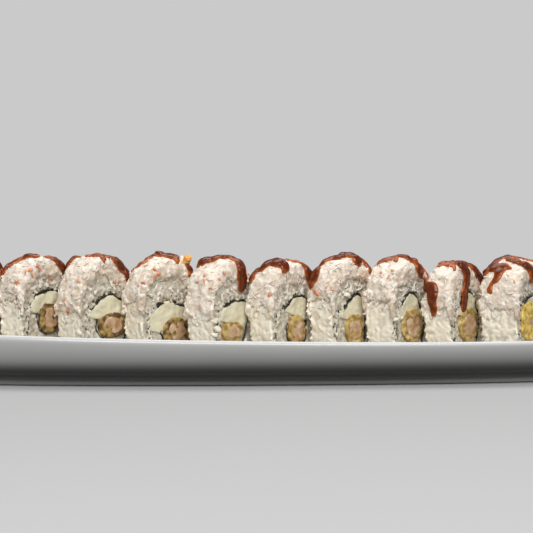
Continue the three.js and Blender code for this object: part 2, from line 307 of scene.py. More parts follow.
ROW = (
    SliceShape(0, -137.1, 0.2, 38, 16, 32, 48.6,
               ((-9.5, 5.5), (-10.5, 13), (-9.6, 20), (-5, 25.5), (1.5, 29.5), (7, 28.5), (9.8, 23), (9.8, 14),
                (8, 6), (0, 4)), (-3, 19.5), (1.6, 13.6, 6.3, 7.2), False, 25),
    SliceShape(1, -108.8, 0, 41.8, 14, 30, 49.8,
               ((-9.4, 7), (-10.4, 13), (-10.6, 18.5), (-9.6, 24.9), (-7.2, 28.5), (-2.9, 31), (4, 32.7), (9.8, 31),
                (12, 26), (12, 17), (9.5, 9), (0, 5.5)), (-7.2, 21.6), (3.2, 19, 7, 7), True, 29, 3.2),
    SliceShape(2, -80.6, 0.5, 49.3, 16, 32, 49.8,
               ((-7, 5.5), (-8.6, 10.5), (-10.8, 16.1), (-11, 21), (-7.3, 24.6), (-3.3, 28.4), (0.2, 30.2),
                (4.4, 30.6), (8.2, 28.9), (12, 25), (13.4, 17), (11.5, 9), (3, 4.5)),
               (-7.3, 18.8), (3.7, 15.7, 8.3, 5.8), True, 22, 1.2),
    SliceShape(3, -49.6, 1.8, 53, 14, 33, 49.6,
               ((-9.5, 5), (-11.6, 10), (-12.6, 15.5), (-12.4, 19.7), (-10, 22.6), (-6, 26), (-1.3, 27.4),
                (4.5, 26.2), (9.3, 24), (12.6, 20), (13, 12), (10, 6), (1, 3.8)),
               (-10.6, 12.7), (3.4, 12.7, 8, 6.4), True, 26, 2.2),
    SliceShape(4, -21.1, -1, 44.7, 16, 32, 48.4,
               ((-9.5, 5), (-10.7, 10), (-10.7, 17.4), (-10, 22), (-6.9, 24.7), (-3.9, 26.2), (1, 27.6), (6.6, 27.5),
                (9.5, 25.8), (10, 20.6), (9, 15), (7.2, 8.5), (0, 4)), (-9.4, 17.4), (-1.9, 12.5, 6.9, 4.9), False, 20),
    SliceShape(5, 7.1, 0, 48.1, 14.6, 30, 47.5,
               ((-11, 5), (-12, 10), (-10.8, 17.5), (-9.2, 21), (-4.6, 24.6), (0.9, 28.9), (4.5, 29.6), (8, 29),
                (10, 27), (10, 20), (9.6, 10), (7, 4.8), (-2, 4)), (-1.9, 20.3), (2.5, 13.1, 5.8, 7.3), True, 24.5, 2),
    SliceShape(6, 36.3, 0.5, 49.7, 14, 31, 49.4,
               ((-10.5, 4.8), (-12.2, 10), (-12.2, 15.5), (-11.4, 19), (-9, 22.3), (-3.9, 26.6), (0, 29.6),
                (2.6, 30.6), (5.9, 29.3), (7.8, 24.7), (8.6, 15), (7.6, 6.5), (0, 4)),
               (-6.4, 18), (0.6, 13.5, 6.3, 7.3), False, 28, 2.4),
    SliceShape(7, 62.8, 0, 45.1, 15.6, 31, 48,
               ((-10.5, 4.8), (-12.2, 9.5), (-12.2, 15), (-10.8, 21.5), (-7.8, 25.6), (-3.7, 30), (-0.5, 31.2),
                (3.6, 30), (6.9, 25.6), (9.6, 20.3), (10.2, 12.5), (8.2, 6), (0, 4)),
               (-8.6, 17.5), (0.3, 15.1, 8, 8), False, 27, 0.6),
    SliceShape(8, 89.7, 0, 43.4, 14, 31, 46.1,
               ((-9.6, 4.8), (-11.2, 9.5), (-11.6, 14.2), (-10.2, 19.4), (-6, 24.6), (-3, 28.6), (-0.6, 31),
                (2.2, 31.8), (5.9, 30.3), (8.6, 25.4), (11, 19.7), (10.9, 11.6), (9, 6), (0, 4)),
               (-6.4, 19.7), (1.3, 15.2, 7.9, 8.1), False, 24),
    SliceShape(9, 119.3, 0.2, 41.9, 19, 33, 48.1,
               ((-10.8, 5.6), (-12.8, 10), (-13.2, 17.5), (-12.2, 24), (-7, 28), (0, 29.4), (5, 28.8), (9.5, 26),
                (11, 20), (11, 12), (8.5, 6), (0, 4)), (-1, 15), (-3.6, 17.2, 9.2, 9), False, 23),
)

# Lines of sauce by slice, each point a pixel of the photograph and half the line's width there.
# Slice 0 is outside the photograph, so its lines are slice 3's, as far to the left.
SAUCE: dict[int, tuple[Stroke, ...]] = {
    0: (((-50, 268, 1), (-43, 262.5, 1.5), (-36, 257, 2), (-28, 254.5, 2.5), (-20, 254, 3), (-12, 255, 3.2),
         (-5, 259, 3), (0, 264, 2.5), (2, 270, 2.5), (1, 277, 2.5)),),
    1: (((10, 267, 1.2), (17, 262, 2), (25, 256.5, 2), (31, 254, 3), (36, 253.5, 2)),
        ((46, 252.5, 1.5), (52, 253, 2), (58, 256, 3), (61, 259, 3), (64, 263, 3), (63, 266, 2.5))),
    2: (((86, 257, 1), (92, 253.5, 1.5), (99, 252.5, 2), (106, 254, 2), (112, 256, 2), (118, 260, 3.5), (124, 269, 5),
         (127, 274, 4)), ((101, 254, 2), (103, 259, 2), (104, 263, 1)), ((119, 265, 2), (126, 270, 5), (131, 269, 2))),
    3: (((133, 268, 1), (140, 262.5, 1.5), (147, 257, 2), (155, 254.5, 2.5), (163, 253.5, 3), (170, 255, 3.2),
         (175, 259, 3), (177, 263, 1.5)), ((185, 264, 1.5), (188, 267, 2.5), (190, 272, 2.5), (189, 275, 2))),
    4: (((200, 264, 2), (204, 260, 3.5), (208, 261, 4), (215, 259.5, 3), (222, 257.5, 2.5), (228, 256.5, 2.5),
         (232, 259, 2.5), (236, 262, 3), (240, 266, 4.5), (241, 275, 4.5), (241, 283, 4.5), (240, 288, 3.5)),),
    5: (((252, 274, 1.5), (256, 268, 2), (261, 265, 2.5), (266, 263.5, 2.8), (272, 262, 3.5), (279, 264, 4.5),
         (284, 266, 4.5), (283, 272, 2)),
        ((281, 258.5, 1), (287, 259.5, 1.2), (293, 261, 1.2), (299, 260.5, 1.5), (304, 261, 2), (307, 266, 2.5),
         (307, 272, 3.5), (310, 278, 5.5), (311, 284, 3.5), (310.5, 288, 1.5))),
    6: (((317, 270, 3), (315, 277, 4), (312, 284, 3), (311, 288, 1.5)),
        ((313, 269, 1), (317, 264, 1.5), (322, 259, 2), (328, 255.5, 2.5), (335, 254, 2.8), (342, 253.8, 3),
         (349, 255, 3.5), (354, 258, 4.5), (357, 262, 4), (357, 264, 2)),
        ((354, 256, 1.5), (361, 259, 1.8), (367, 263, 2), (372, 266, 2.5), (377, 265, 2.5))),
    7: (((379, 264, 1.5), (385, 259, 2), (392, 257, 2.2), (400, 256.8, 2), (407, 258, 2.5), (413, 261, 2.5),
         (417, 266, 3), (420, 272, 3.5), (421, 277, 1.5)), ((388, 257, 1.5), (395, 259, 1.5), (396, 262, 1.5)),
        ((420, 264, 1), (425, 268, 1), (430, 271, 1))),
    8: (((441, 262, 1.5), (447, 261, 2), (453, 264, 2), (454, 270, 1.5)),
        ((438, 267, 1), (445, 265, 1.5), (450, 267, 1.5)),
        ((457, 263, 2), (462, 267, 3.5), (466, 273, 4), (466, 280, 3), (464, 290, 3), (462, 300, 3.2), (461, 308, 2.8)),
        ((456, 261, 1), (463, 261, 2), (470, 262, 2.5), (477, 266, 3), (482, 271, 3), (483, 275, 2)),
        ((427, 286, 3), (432, 288, 6), (433, 294, 6.5), (432, 300, 4.5), (434, 308, 4), (434.5, 313, 3.2))),
    9: (((494, 260, 2), (500, 257.5, 3), (508, 259, 2.5), (516, 262, 2.5), (524, 265, 3), (530, 270, 3.5),
         (532, 278, 3.5)), ((510, 257, 1.2), (520, 259, 1.2), (533, 262, 1.2), (545, 266, 2)),
        ((487, 273, 2.5), (490, 269, 3.5), (497, 268, 4), (505, 267.5, 3.5), (511, 269, 1.5)),
        ((500, 272, 4), (497, 279, 3.5), (492, 284, 2), (490, 290, 3), (491, 292, 2.5))),
}

# Orange flecks by slice, each a pixel of the photograph and half its length there
FLECKS: dict[int, Stroke] = {
    1: ((37, 265.5, 2), (39, 269.5, 2.5), (29.7, 271, 2.5), (17, 281.5, 4)),
    2: ((79.5, 281.5, 3), (68, 310, 3)),
    3: ((154, 269, 2.5), (158, 274, 3), (155, 276.5, 2.5), (143, 283, 2), (139, 286, 2), (130, 310, 4)),
    4: ((223.5, 272.5, 2), (205, 275.5, 2), (198, 282, 2), (211, 288, 2), (219, 279.5, 1.5)),
    5: ((270.2, 295, 4), (255, 305, 3)),
    6: ((315, 290, 3), (317, 294, 3), (327.5, 288, 2), (332, 290.5, 2), (357, 268, 1.5), (360, 275, 1.5)),
    7: ((393, 271, 2.5), (381.5, 273, 2)),
}


@dataclass
class NodeBench:
    """Places and links shader nodes in one tree."""

    tree: bpy.types.NodeTree

    def give(self, socket: Socket, value: object) -> None:
        """Gives an input a value, or links an output to it.

        Args:
            socket: The input.
            value: The value or the output.
        """
        if isinstance(value, bpy.types.NodeSocket):
            self.tree.links.new(value, socket)
        else:
            socket.default_value = (*value, 1.0) if socket.type == "RGBA" else value

    def set(self, node: bpy.types.Node, **inputs: object) -> None:
        """Sets or links a node's inputs.

        Args:
            node: The node.
            **inputs: An input's name, with _ for a space, and its value or the output to link.
        """
        for name, value in inputs.items():
            self.give(node.inputs[name.replace("_", " ")], value)

    def add(self, kind: str, **inputs: object) -> bpy.types.Node:
        """Adds a node of Blender's type kind, with its inputs as for set."""
        node = self.tree.nodes.new(kind)
        self.set(node, **inputs)
        return node

    def mix(self, share: Socket, first: object, second: object) -> Socket:
        """Adds a mix of two colours.

        Args:
            share: How much of the second there is.
            first: A colour or an output.
            second: Another.

        Returns:
            The mixed colour.
        """
        node = self.add("ShaderNodeMix")
        node.data_type = "RGBA"
        ends = [socket for socket in node.inputs if socket.type == "RGBA"]
        for socket, value in zip((node.inputs["Factor"], *ends), (share, first, second)):
            self.give(socket, value)
        return next(socket for socket in node.outputs if socket.type == "RGBA")

    def level(self, name: str) -> Socket:
        """The level that a shape is marked with under a name."""
        node = self.add("ShaderNodeAttribute")
        node.attribute_name = name
        return node.outputs["Fac"]

    def texture_space(self) -> Socket:
        """The object's own coordinates."""
        return self.add("ShaderNodeTexCoord").outputs["Object"]


@dataclass(frozen=True)
class Mottle:
    """Soft patches of two colours with a fine grain in their height, at the sizes given."""

    light: Colour
    dark: Colour
    patch: float
    grain: float

    @staticmethod
    def tree() -> bpy.types.NodeTree:
        """Builds the group once.

        Returns:
            The group's node tree.
        """
        made = bpy.data.node_groups.get("mottle")
        if made:
            return made
        made = bpy.data.node_groups.new("mottle", "ShaderNodeTree")
        for way, kind, names in (("INPUT", "Color", ("Light", "Dark")),
                                 ("INPUT", "Float", ("Patch Scale", "Grain Scale")),
                                 ("OUTPUT", "Color", ("Color",)), ("OUTPUT", "Float", ("Height",))):
            for name in names:
                made.interface.new_socket(name, in_out=way, socket_type=f"NodeSocket{kind}")
        bench = NodeBench(made)
        given = bench.add("NodeGroupInput").outputs
        where = bench.texture_space()
        patch = bench.add("ShaderNodeTexNoise", Vector=where, Scale=given["Patch Scale"], Detail=4.0, Roughness=0.6)
        grain = bench.add("ShaderNodeTexNoise", Vector=where, Scale=given["Grain Scale"], Detail=3.0, Roughness=0.55)
        sharper = bench.add("ShaderNodeMapRange", Value=patch.outputs["Fac"], From_Min=0.36, From_Max=0.64)
        colour = bench.mix(sharper.outputs["Result"], given["Dark"], given["Light"])
        bench.add("NodeGroupOutput", Color=colour, Height=grain.outputs["Fac"])
        return made

    def paint(self, bench: NodeBench, shader: bpy.types.Node, bump: float, height: float) -> Socket:
        """Adds the patches to a material and their grain to its normal.

        Args:
            bench: The material's bench.
            shader: Its shader.
            bump: How strong the grain is.
            height: How high it is, in metres.

        Returns:
            The patches' colour.
        """
        node = bench.add("ShaderNodeGroup")
        node.node_tree = self.tree()
        bench.set(node, Light=self.light, Dark=self.dark, Patch_Scale=self.patch, Grain_Scale=self.grain)
        relief = bench.add("ShaderNodeBump", Height=node.outputs["Height"], Strength=bump, Distance=height)
        bench.set(shader, Normal=relief.outputs["Normal"])
        return node.outputs["Color"]


@dataclass(frozen=True)
class Finish:
    """A material, built once and found by its name after that."""

    name: str

    def material(self) -> bpy.types.Material:
        """Builds or finds the material.

        Returns:
            The material.
        """
        made = bpy.data.materials.get(self.name)
        if not made:
            made = bpy.data.materials.new(self.name)
            made.use_nodes = True
            self.paint(NodeBench(made.node_tree), made.node_tree.nodes["Principled BSDF"])
        return made

    def paint(self, bench: NodeBench, shader: bpy.types.Node) -> None:
        """Fills in the shader."""
        raise NotImplementedError


@dataclass(frozen=True)
class FoodFinish(Finish):
    """A moist, slightly see-through finish with patches of two colours.

    A marked level mixes in the third colour: painted shade where a place lies deep between grains or shreds, and darker
    patches at random, the food's own tone, in batter and shrimp; only where the piece has the level.
    """

    light: Colour
    dark: Colour
    painted_shade_and_tone: Colour
    patch: float
    grain: float
    rough: float
    bump: float
    subsurface: float = 0.0
    bleed: Colour = (1.0, 0.6, 0.4)

    def paint(self, bench: NodeBench, shader: bpy.types.Node) -> None:
        """Mixes the patches with the third colour by the marked level: painted shade in rice and crab, darker tone in
        batter and shrimp.
        """
        patches = Mottle(self.light, self.dark, self.patch, self.grain).paint(bench, shader, self.bump, 0.0004)
        bench.set(shader, Base_Color=bench.mix(bench.level("painted_shade_and_tone"), patches, self.painted_shade_and_tone), Roughness=self.rough,
                  Subsurface_Weight=self.subsurface, Subsurface_Radius=self.bleed, Subsurface_Scale=0.0015)


@dataclass(frozen=True)
class SauceFinish(Finish):
    """A thick brown glaze that is orange where it is thin. The level depth says how thick it is."""

    name: str = "eel_glaze"
    thin: Colour = (0.48, 0.13, 0.018)
    middle: Colour = (0.30, 0.062, 0.010)
    deep: Colour = (0.125, 0.022, 0.004)

    def paint(self, bench: NodeBench, shader: bpy.types.Node) -> None:
        """Darkens the glaze with its depth.

        Args:
            bench: The material's bench.
            shader: Its shader.
        """
        swirl = bench.add("ShaderNodeTexNoise", Vector=bench.texture_space(), Scale=260.0, Detail=3.0)
        stir = bench.add("ShaderNodeMath")
        stir.operation = "MULTIPLY_ADD"
        for socket, value in zip(stir.inputs, (swirl.outputs["Fac"], 0.7, bench.level("depth"))):
            bench.give(socket, value)
        ramp = bench.add("ShaderNodeValToRGB", Fac=stir.outputs["Value"])
        stops = ramp.color_ramp.elements
        stops.new(0.66)
        for stop, position, colour in zip(stops, (0.38, 0.66, 1.0), (self.thin, self.middle, self.deep)):
            stop.position = position
            stop.color = (*colour, 1.0)
        bench.set(shader, Base_Color=ramp.outputs["Color"], Roughness=0.2, Specular_IOR_Level=0.28,
                  Coat_Weight=0.08, Coat_Roughness=0.08)


@dataclass(frozen=True)
class GlazeFinish(Finish):
    """White glazed ceramic with faint clouds and the slight ripple of a fired glaze."""

    name: str = "white_glaze"
    white: Colour = (0.62, 0.62, 0.61)
    cloud: Colour = (0.59, 0.59, 0.58)

    def paint(self, bench: NodeBench, shader: bpy.types.Node) -> None:
        """Clouds the white."""
        clouds = Mottle(self.white, self.cloud, 14.0, 60.0).paint(bench, shader, 0.05, 0.0005)
        bench.set(shader, Base_Color=clouds, Roughness=0.22, Coat_Weight=0.12, Coat_Roughness=0.06)


# Each food's third colour is mixed in by its marked level: painted shade between the grains and shreds of rice and
# crab, darker tone at random in batter and shrimp.
RICE = FoodFinish("vinegared_rice", (0.93, 0.87, 0.73), (0.87, 0.80, 0.65), (0.37, 0.32, 0.24),
                  90, 900, 0.42, 0.2, 0.3, (1.0, 0.8, 0.6))
CRAB = FoodFinish("crab_salad", (0.93, 0.85, 0.75), (0.90, 0.79, 0.67), (0.66, 0.54, 0.41),
                  160, 1100, 0.42, 0.22, 0.3, (1.0, 0.75, 0.6))
CREAM = FoodFinish("cream_cheese", (0.98, 0.93, 0.94), (0.96, 0.90, 0.90), (0.82, 0.73, 0.60),
                   120, 700, 0.36, 0.2, 0.2, (1.0, 0.85, 0.7))
BROWN_BATTER = FoodFinish("fried_batter_brown", (0.54, 0.38, 0.11), (0.28, 0.16, 0.04), (0.10, 0.05, 0.02),
                          260, 1300, 0.45, 0.5, 0.1)
GOLDEN_BATTER = FoodFinish("fried_batter_golden", (0.70, 0.54, 0.22), (0.48, 0.33, 0.10), (0.30, 0.17, 0.04),
                           240, 1300, 0.45, 0.5, 0.1)
YELLOW_BATTER = FoodFinish("fried_batter_yellow", (0.98, 0.80, 0.26), (0.82, 0.58, 0.12), (0.56, 0.34, 0.05),
                           220, 1300, 0.4, 0.5, 0.1)
ORANGE_BATTER = FoodFinish("fried_crumb_orange", (0.92, 0.46, 0.10), (0.80, 0.30, 0.04), (0.50, 0.14, 0.02),
                           300, 1300, 0.4, 0.5, 0.1)
SHRIMP = FoodFinish("cooked_shrimp", (0.66, 0.50, 0.34), (0.48, 0.32, 0.18), (0.41, 0.21, 0.10),
                    300, 900, 0.32, 0.3, 0.2, (1.0, 0.5, 0.35))
NORI = FoodFinish("seaweed_sheet", (0.026, 0.029, 0.020), (0.008, 0.009, 0.006), (0.004, 0.004, 0.003),
                  400, 2200, 0.42, 0.8)
FLECK = FoodFinish("crab_red_skin", (0.86, 0.28, 0.12), (0.82, 0.38, 0.22), (0.60, 0.20, 0.08),
                   500, 1500, 0.4, 0.4, 0.15)


def baked(shape: Shape, name: str) -> Mesh:
    """The shape as a mesh.

    Args:
        shape: The shape. It is freed.
        name: What the mesh is called.

    Returns:
        The mesh.
    """
    mesh = bpy.data.meshes.new(name)
    shape.to_mesh(mesh)
    shape.free()
    return mesh


def linked(name: str, data: bpy.types.ID) -> bpy.types.Object:
    """A new object in the scene."""
    made = bpy.data.objects.new(name, data)
    bpy.context.scene.collection.objects.link(made)
    return made


def join(into: Shape, *parts: Shape) -> None:
    """Joins shapes to another.

    Args:
        into: The shape that they join.
        *parts: The shapes. They are freed.
    """
    for part in parts:
        mesh = baked(part, "part")
        into.from_mesh(mesh)
        bpy.data.meshes.remove(mesh)


def drawn_out(shape: Shape, reach: float) -> Shape:
    """Draws a flat shape out along x.

    Args:
        shape: The shape, which is changed.
        reach: How far.

    Returns:
        The same shape, closed.
    """
    grown = bmesh.ops.extrude_face_region(shape, geom=list(shape.faces))
    moved = [item for item in grown["geom"] if isinstance(item, Vert)]
    bmesh.ops.translate(shape, verts=moved, vec=(reach, 0, 0))
    bmesh.ops.recalc_face_normals(shape, faces=list(shape.faces))
    return shape


def bar(outline: Callable[[float], Vector], low: float, high: float, segments: int = 48) -> Shape:
    """A solid bar along x.

    Args:
        outline: Gives the section's point at each angle.
        low: Where the bar starts along x.
        high: Where it ends.
        segments: How many sides its section has.

    Returns:
        The bar, closed at both ends.
    """
    shape = bmesh.new()
    bmesh.ops.create_circle(shape, cap_ends=True, radius=1.0, segments=segments)
    for vert in shape.verts:
        point = outline(math.atan2(vert.co.y, vert.co.x))
        vert.co = (low, point.y, point.z)
    return drawn_out(shape, high - low)


def evaluated(shape: Shape, *steps: tuple[str, dict[str, object]]) -> Shape:
    """The shape after some modifiers.

    Args:
        shape: The shape. It is freed.
        *steps: Each modifier's type and its settings.

    Returns:
        The new shape.
    """
    holder = linked("worked", baked(shape, "worked"))
    for kind, settings in steps:
        step = holder.modifiers.new(kind.title(), kind)
        for name, value in settings.items():
            setattr(step, name, value)
    bpy.context.view_layer.update()
    made = bmesh.new()
    made.from_object(holder, bpy.context.evaluated_depsgraph_get())
    mesh = holder.data
    bpy.data.objects.remove(holder)
    bpy.data.meshes.remove(mesh)
    return made


def remeshed(shape: Shape, voxel: float, smooth: int) -> Shape:
    """The shape as one even skin.

    Args:
        shape: Closed shapes, which may cross. It is freed.
        voxel: The size of the skin's faces.
        smooth: How many times the skin is smoothed.

    Returns:
        The new skin.
    """
    skin = ("REMESH", {"mode": "VOXEL", "voxel_size": voxel})
    return evaluated(shape, skin, ("SMOOTH", {"factor": 0.5, "iterations": smooth}))


def roughen(shape: Shape, seed: float, *lumps: Pair) -> None:
    """Pushes each point out or in along its normal.

    Args:
        shape: The shape to change.
        seed: Where in the noise the shape lies.
        *lumps: How far and at what size, from the largest lumps to the finest.
    """
    shape.normal_update()
    shift = Vector((seed, -1.7 * seed, 0.6 * seed))
    pushed = []
    for vert in shape.verts:
        push = sum(far * noise.noise(vert.co / size + shift) for far, size in lumps)
        pushed.append(vert.co + vert.normal * push)
    for vert, point in zip(shape.verts, pushed):
        vert.co = point


def mark(shape: Shape, name: str, level: Callable[[Vert], float]) -> None:
    """Marks each point with a level that a finish reads.

    Args:
        shape: The shape to mark.
        name: The level's name.
        level: Gives a point's level, which is kept between 0 and 1.
    """
    layer = shape.verts.layers.float.new(name)
    for vert in shape.verts:
        vert[layer] = min(max(level(vert), 0.0), 1.0)


def turned(spot: Vector, out: Vector, spin: float, size: Vector) -> Matrix:
    """The matrix that lays a small piece on a surface.

    Args:
        spot: Where its middle goes.
        out: The surface's normal, which becomes the piece's z.
        spin: How far it is turned about that, in radians.
        size: Its scale along its own x, y and z.

    Returns:
        The matrix.
    """
    lean = out.to_track_quat("Z", "Y").to_matrix().to_4x4()
    return Matrix.Translation(spot) @ lean @ Matrix.Rotation(spin, 4, "Z") @ Matrix.Diagonal((*size, 1.0))


def scatter(into: Shape, kinds: list[Mesh], places: Iterable[Matrix], chance: random.Random) -> None:
    """Joins a copy of one of the kinds to the shape at each place.

    Args:
        into: The shape that they join.
        kinds: The small meshes to choose from.
        places: Where each copy goes.
        chance: Makes the choice.
    """
    for place in places:
        copy = chance.choice(kinds).copy()
        copy.transform(place)
        into.from_mesh(copy, face_normals=False, vertex_normals=False)
        bpy.data.meshes.remove(copy)


def pellets(count: int, rings: int, around: int, bend: float, seed: int, name: str) -> list[Mesh]:
    """Small bent grains or shreds of unit half length, each different.

    Args:
        count: How many kinds.
        rings: How many rings of faces each has along it.
        around: How many faces it has around it.
        bend: How far its ends bend.
        seed: Starts the random choices.
        name: What the meshes are called.

    Returns:
        The meshes.
    """
    chance = random.Random(seed)
    made = []
    for _ in range(count):
        shape = bmesh.new()
        bmesh.ops.create_uvsphere(shape, u_segments=around, v_segments=rings, radius=1.0)
        bmesh.ops.rotate(shape, verts=list(shape.verts), matrix=Matrix.Rotation(math.pi / 2, 3, "Y"))
        curl = bend * chance.uniform(0.4, 1.0) * chance.choice((-1, 1))
        for vert in shape.verts:
            taper = 1 - 0.18 * vert.co.x**2 + chance.uniform(-0.08, 0.08)
            vert.co.y = vert.co.y * taper + curl * vert.co.x**2
            vert.co.z = vert.co.z * taper
        mesh = baked(shape, name)
        mesh.shade_smooth()
        made.append(mesh)
    return made


def sample(shape: Shape, count: int, chance: random.Random) -> list[Hit]:
    """Random points on a shape, evenly by area.

    Args:
        shape: The shape.
        count: How many points.
        chance: Makes the choices.

    Returns:
        Each point and the normal there.
    """
    faces = list(shape.faces)
    picked = chance.choices(faces, weights=[face.calc_area() for face in faces], k=count)
    found = []
    for face in picked:
        corners = [vert.co for vert in face.verts]
        start = chance.randrange(len(corners))
        a, b = corners[start], corners[(start + 1) % len(corners)]
        c = corners[(start + 2) % len(corners)]
        u, v = sorted((chance.random(), chance.random()))
        found.append((a * u + b * (v - u) + c * (1 - v), face.normal.copy()))
    return found


def finished(shape: Shape, name: str, place: Matrix, finish: Finish, slot: Slot, *nodes: str) -> bpy.types.Object:
    """Makes a shape a piece of the object, in place.

    Args:
        shape: The shape. It is freed.
        name: The piece's name.
        place: From the shape's own frame to the row frame in metres.
        finish: The piece's finish.
        slot: The record's slot for it. It is not used.
        *nodes: The CAD nodes that it stands for, if any.

    Returns:
        The piece.
    """
    shape.transform(place)
    shape.normal_update()
    mesh = baked(shape, name)
    mesh.materials.append(finish.material())
    mesh.shade_smooth()
    piece = linked(name, mesh)
    if nodes:
        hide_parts(*nodes)
    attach(piece, "root")
    mesh.calc_loop_triangles()
    LOG.info("%s: %d triangles", name, len(mesh.loop_triangles))
    return piece


@dataclass
class Plate:
    """The long oval plate, turned as a round dish and drawn out."""

    half_length: float = 182.0
    half_width: float = 57.0
    power: float = 2.3
    floor: float = 9.5
    rim: float = 19.2
    rise: float = 6.8e-5
    lowest_x: float = 100.0
    steps: int = 96
    profile: tuple[Pair, ...] = (
        (0, 4.4), (20, 4.4), (34.6, 4.4), (36.0, 3.9), (36.5, 0.5), (37.0, 0.0), (40.0, 0.0), (40.5, 0.5),
        (41.0, 3.8), (42.4, 4.6), (47.5, 5.8), (52.8, 9.4), (55.6, 14.0), (56.5, 16.6), (56.8, 17.9), (56.7, 18.6),
        (56.1, 19.3), (55.1, 19.7), (54.0, 19.6), (53.1, 18.9), (52.4, 17.4), (51.0, 14), (46.5, 10.8), (39, 9.5),
        (20, 9.5), (0, 9.5),
    )

    def shape(self) -> Shape:
        """Spins the profile and draws it out.

        Returns:
            The plate's shape.
        """
        made = bmesh.new()
        line = [made.verts.new((radius, 0, z)) for radius, z in self.profile]
        edges = [made.edges.new(pair) for pair in zip(line, line[1:])]
        bmesh.ops.spin(made, geom=[*line, *edges], cent=(0, 0, 0), axis=(0, 0, 1), angle=2 * math.pi,
                       steps=self.steps, use_merge=True)
        bmesh.ops.remove_doubles(made, verts=list(made.verts), dist=0.001)
        for vert in made.verts:
            radius = math.hypot(vert.co.x, vert.co.y)
            if radius < 0.01:
                continue
            angle = math.atan2(vert.co.y, vert.co.x)
            long = self.half_length - self.half_width + radius
            point = oval_point(angle, long, radius, self.power)
            lift = max(0.0, (vert.co.z - self.floor) / (self.rim - self.floor))
            rise = self.rise * (point.y - self.lowest_x) ** 2 * lift
            vert.co = (point.y, point.z, vert.co.z + rise)
        bmesh.ops.recalc_face_normals(made, faces=list(made.faces))
        return made

    def build(self) -> None:
        """Makes the plate and its glaze."""
        piece = finished(self.shape(), "plate_glazed", Matrix.Scale(MM, 4), GlazeFinish(), Slot.PLATE, "plate")
        soft = piece.modifiers.new("Soft", "SUBSURF")
        soft.levels = 2
        soft.render_levels = 2


@dataclass(frozen=True)
class Stock:
    """The view and the small meshes that every slice is made with."""

    view: "View"
    grains: list[Mesh]
    shreds: list[Mesh]


@dataclass
class SlicePart:
    """What the layers of one slice share."""

    shape: SliceShape
    stock: Stock
    seed: int = 0

    @cached_property
    def chance(self) -> random.Random:
        """Makes the part's random choices."""
        return random.Random(self.seed + self.shape.number)

    def lay(self, spot: Vector, out: Vector, size: Vector) -> Matrix:
        """The matrix that lays a small piece of some size on a surface, turned at random."""
        return turned(spot, out, self.chance.uniform(-math.pi, math.pi), size)

    def finish(self, made: Shape, kind: str, finish: Finish, slot: Slot) -> None:
        """Makes a shape, which is freed, a kind of piece of this slice."""
        number = self.shape.number
        finished(made, f"{kind}_{number}", self.shape.place, finish, slot, f"{slot.node}_{number}")


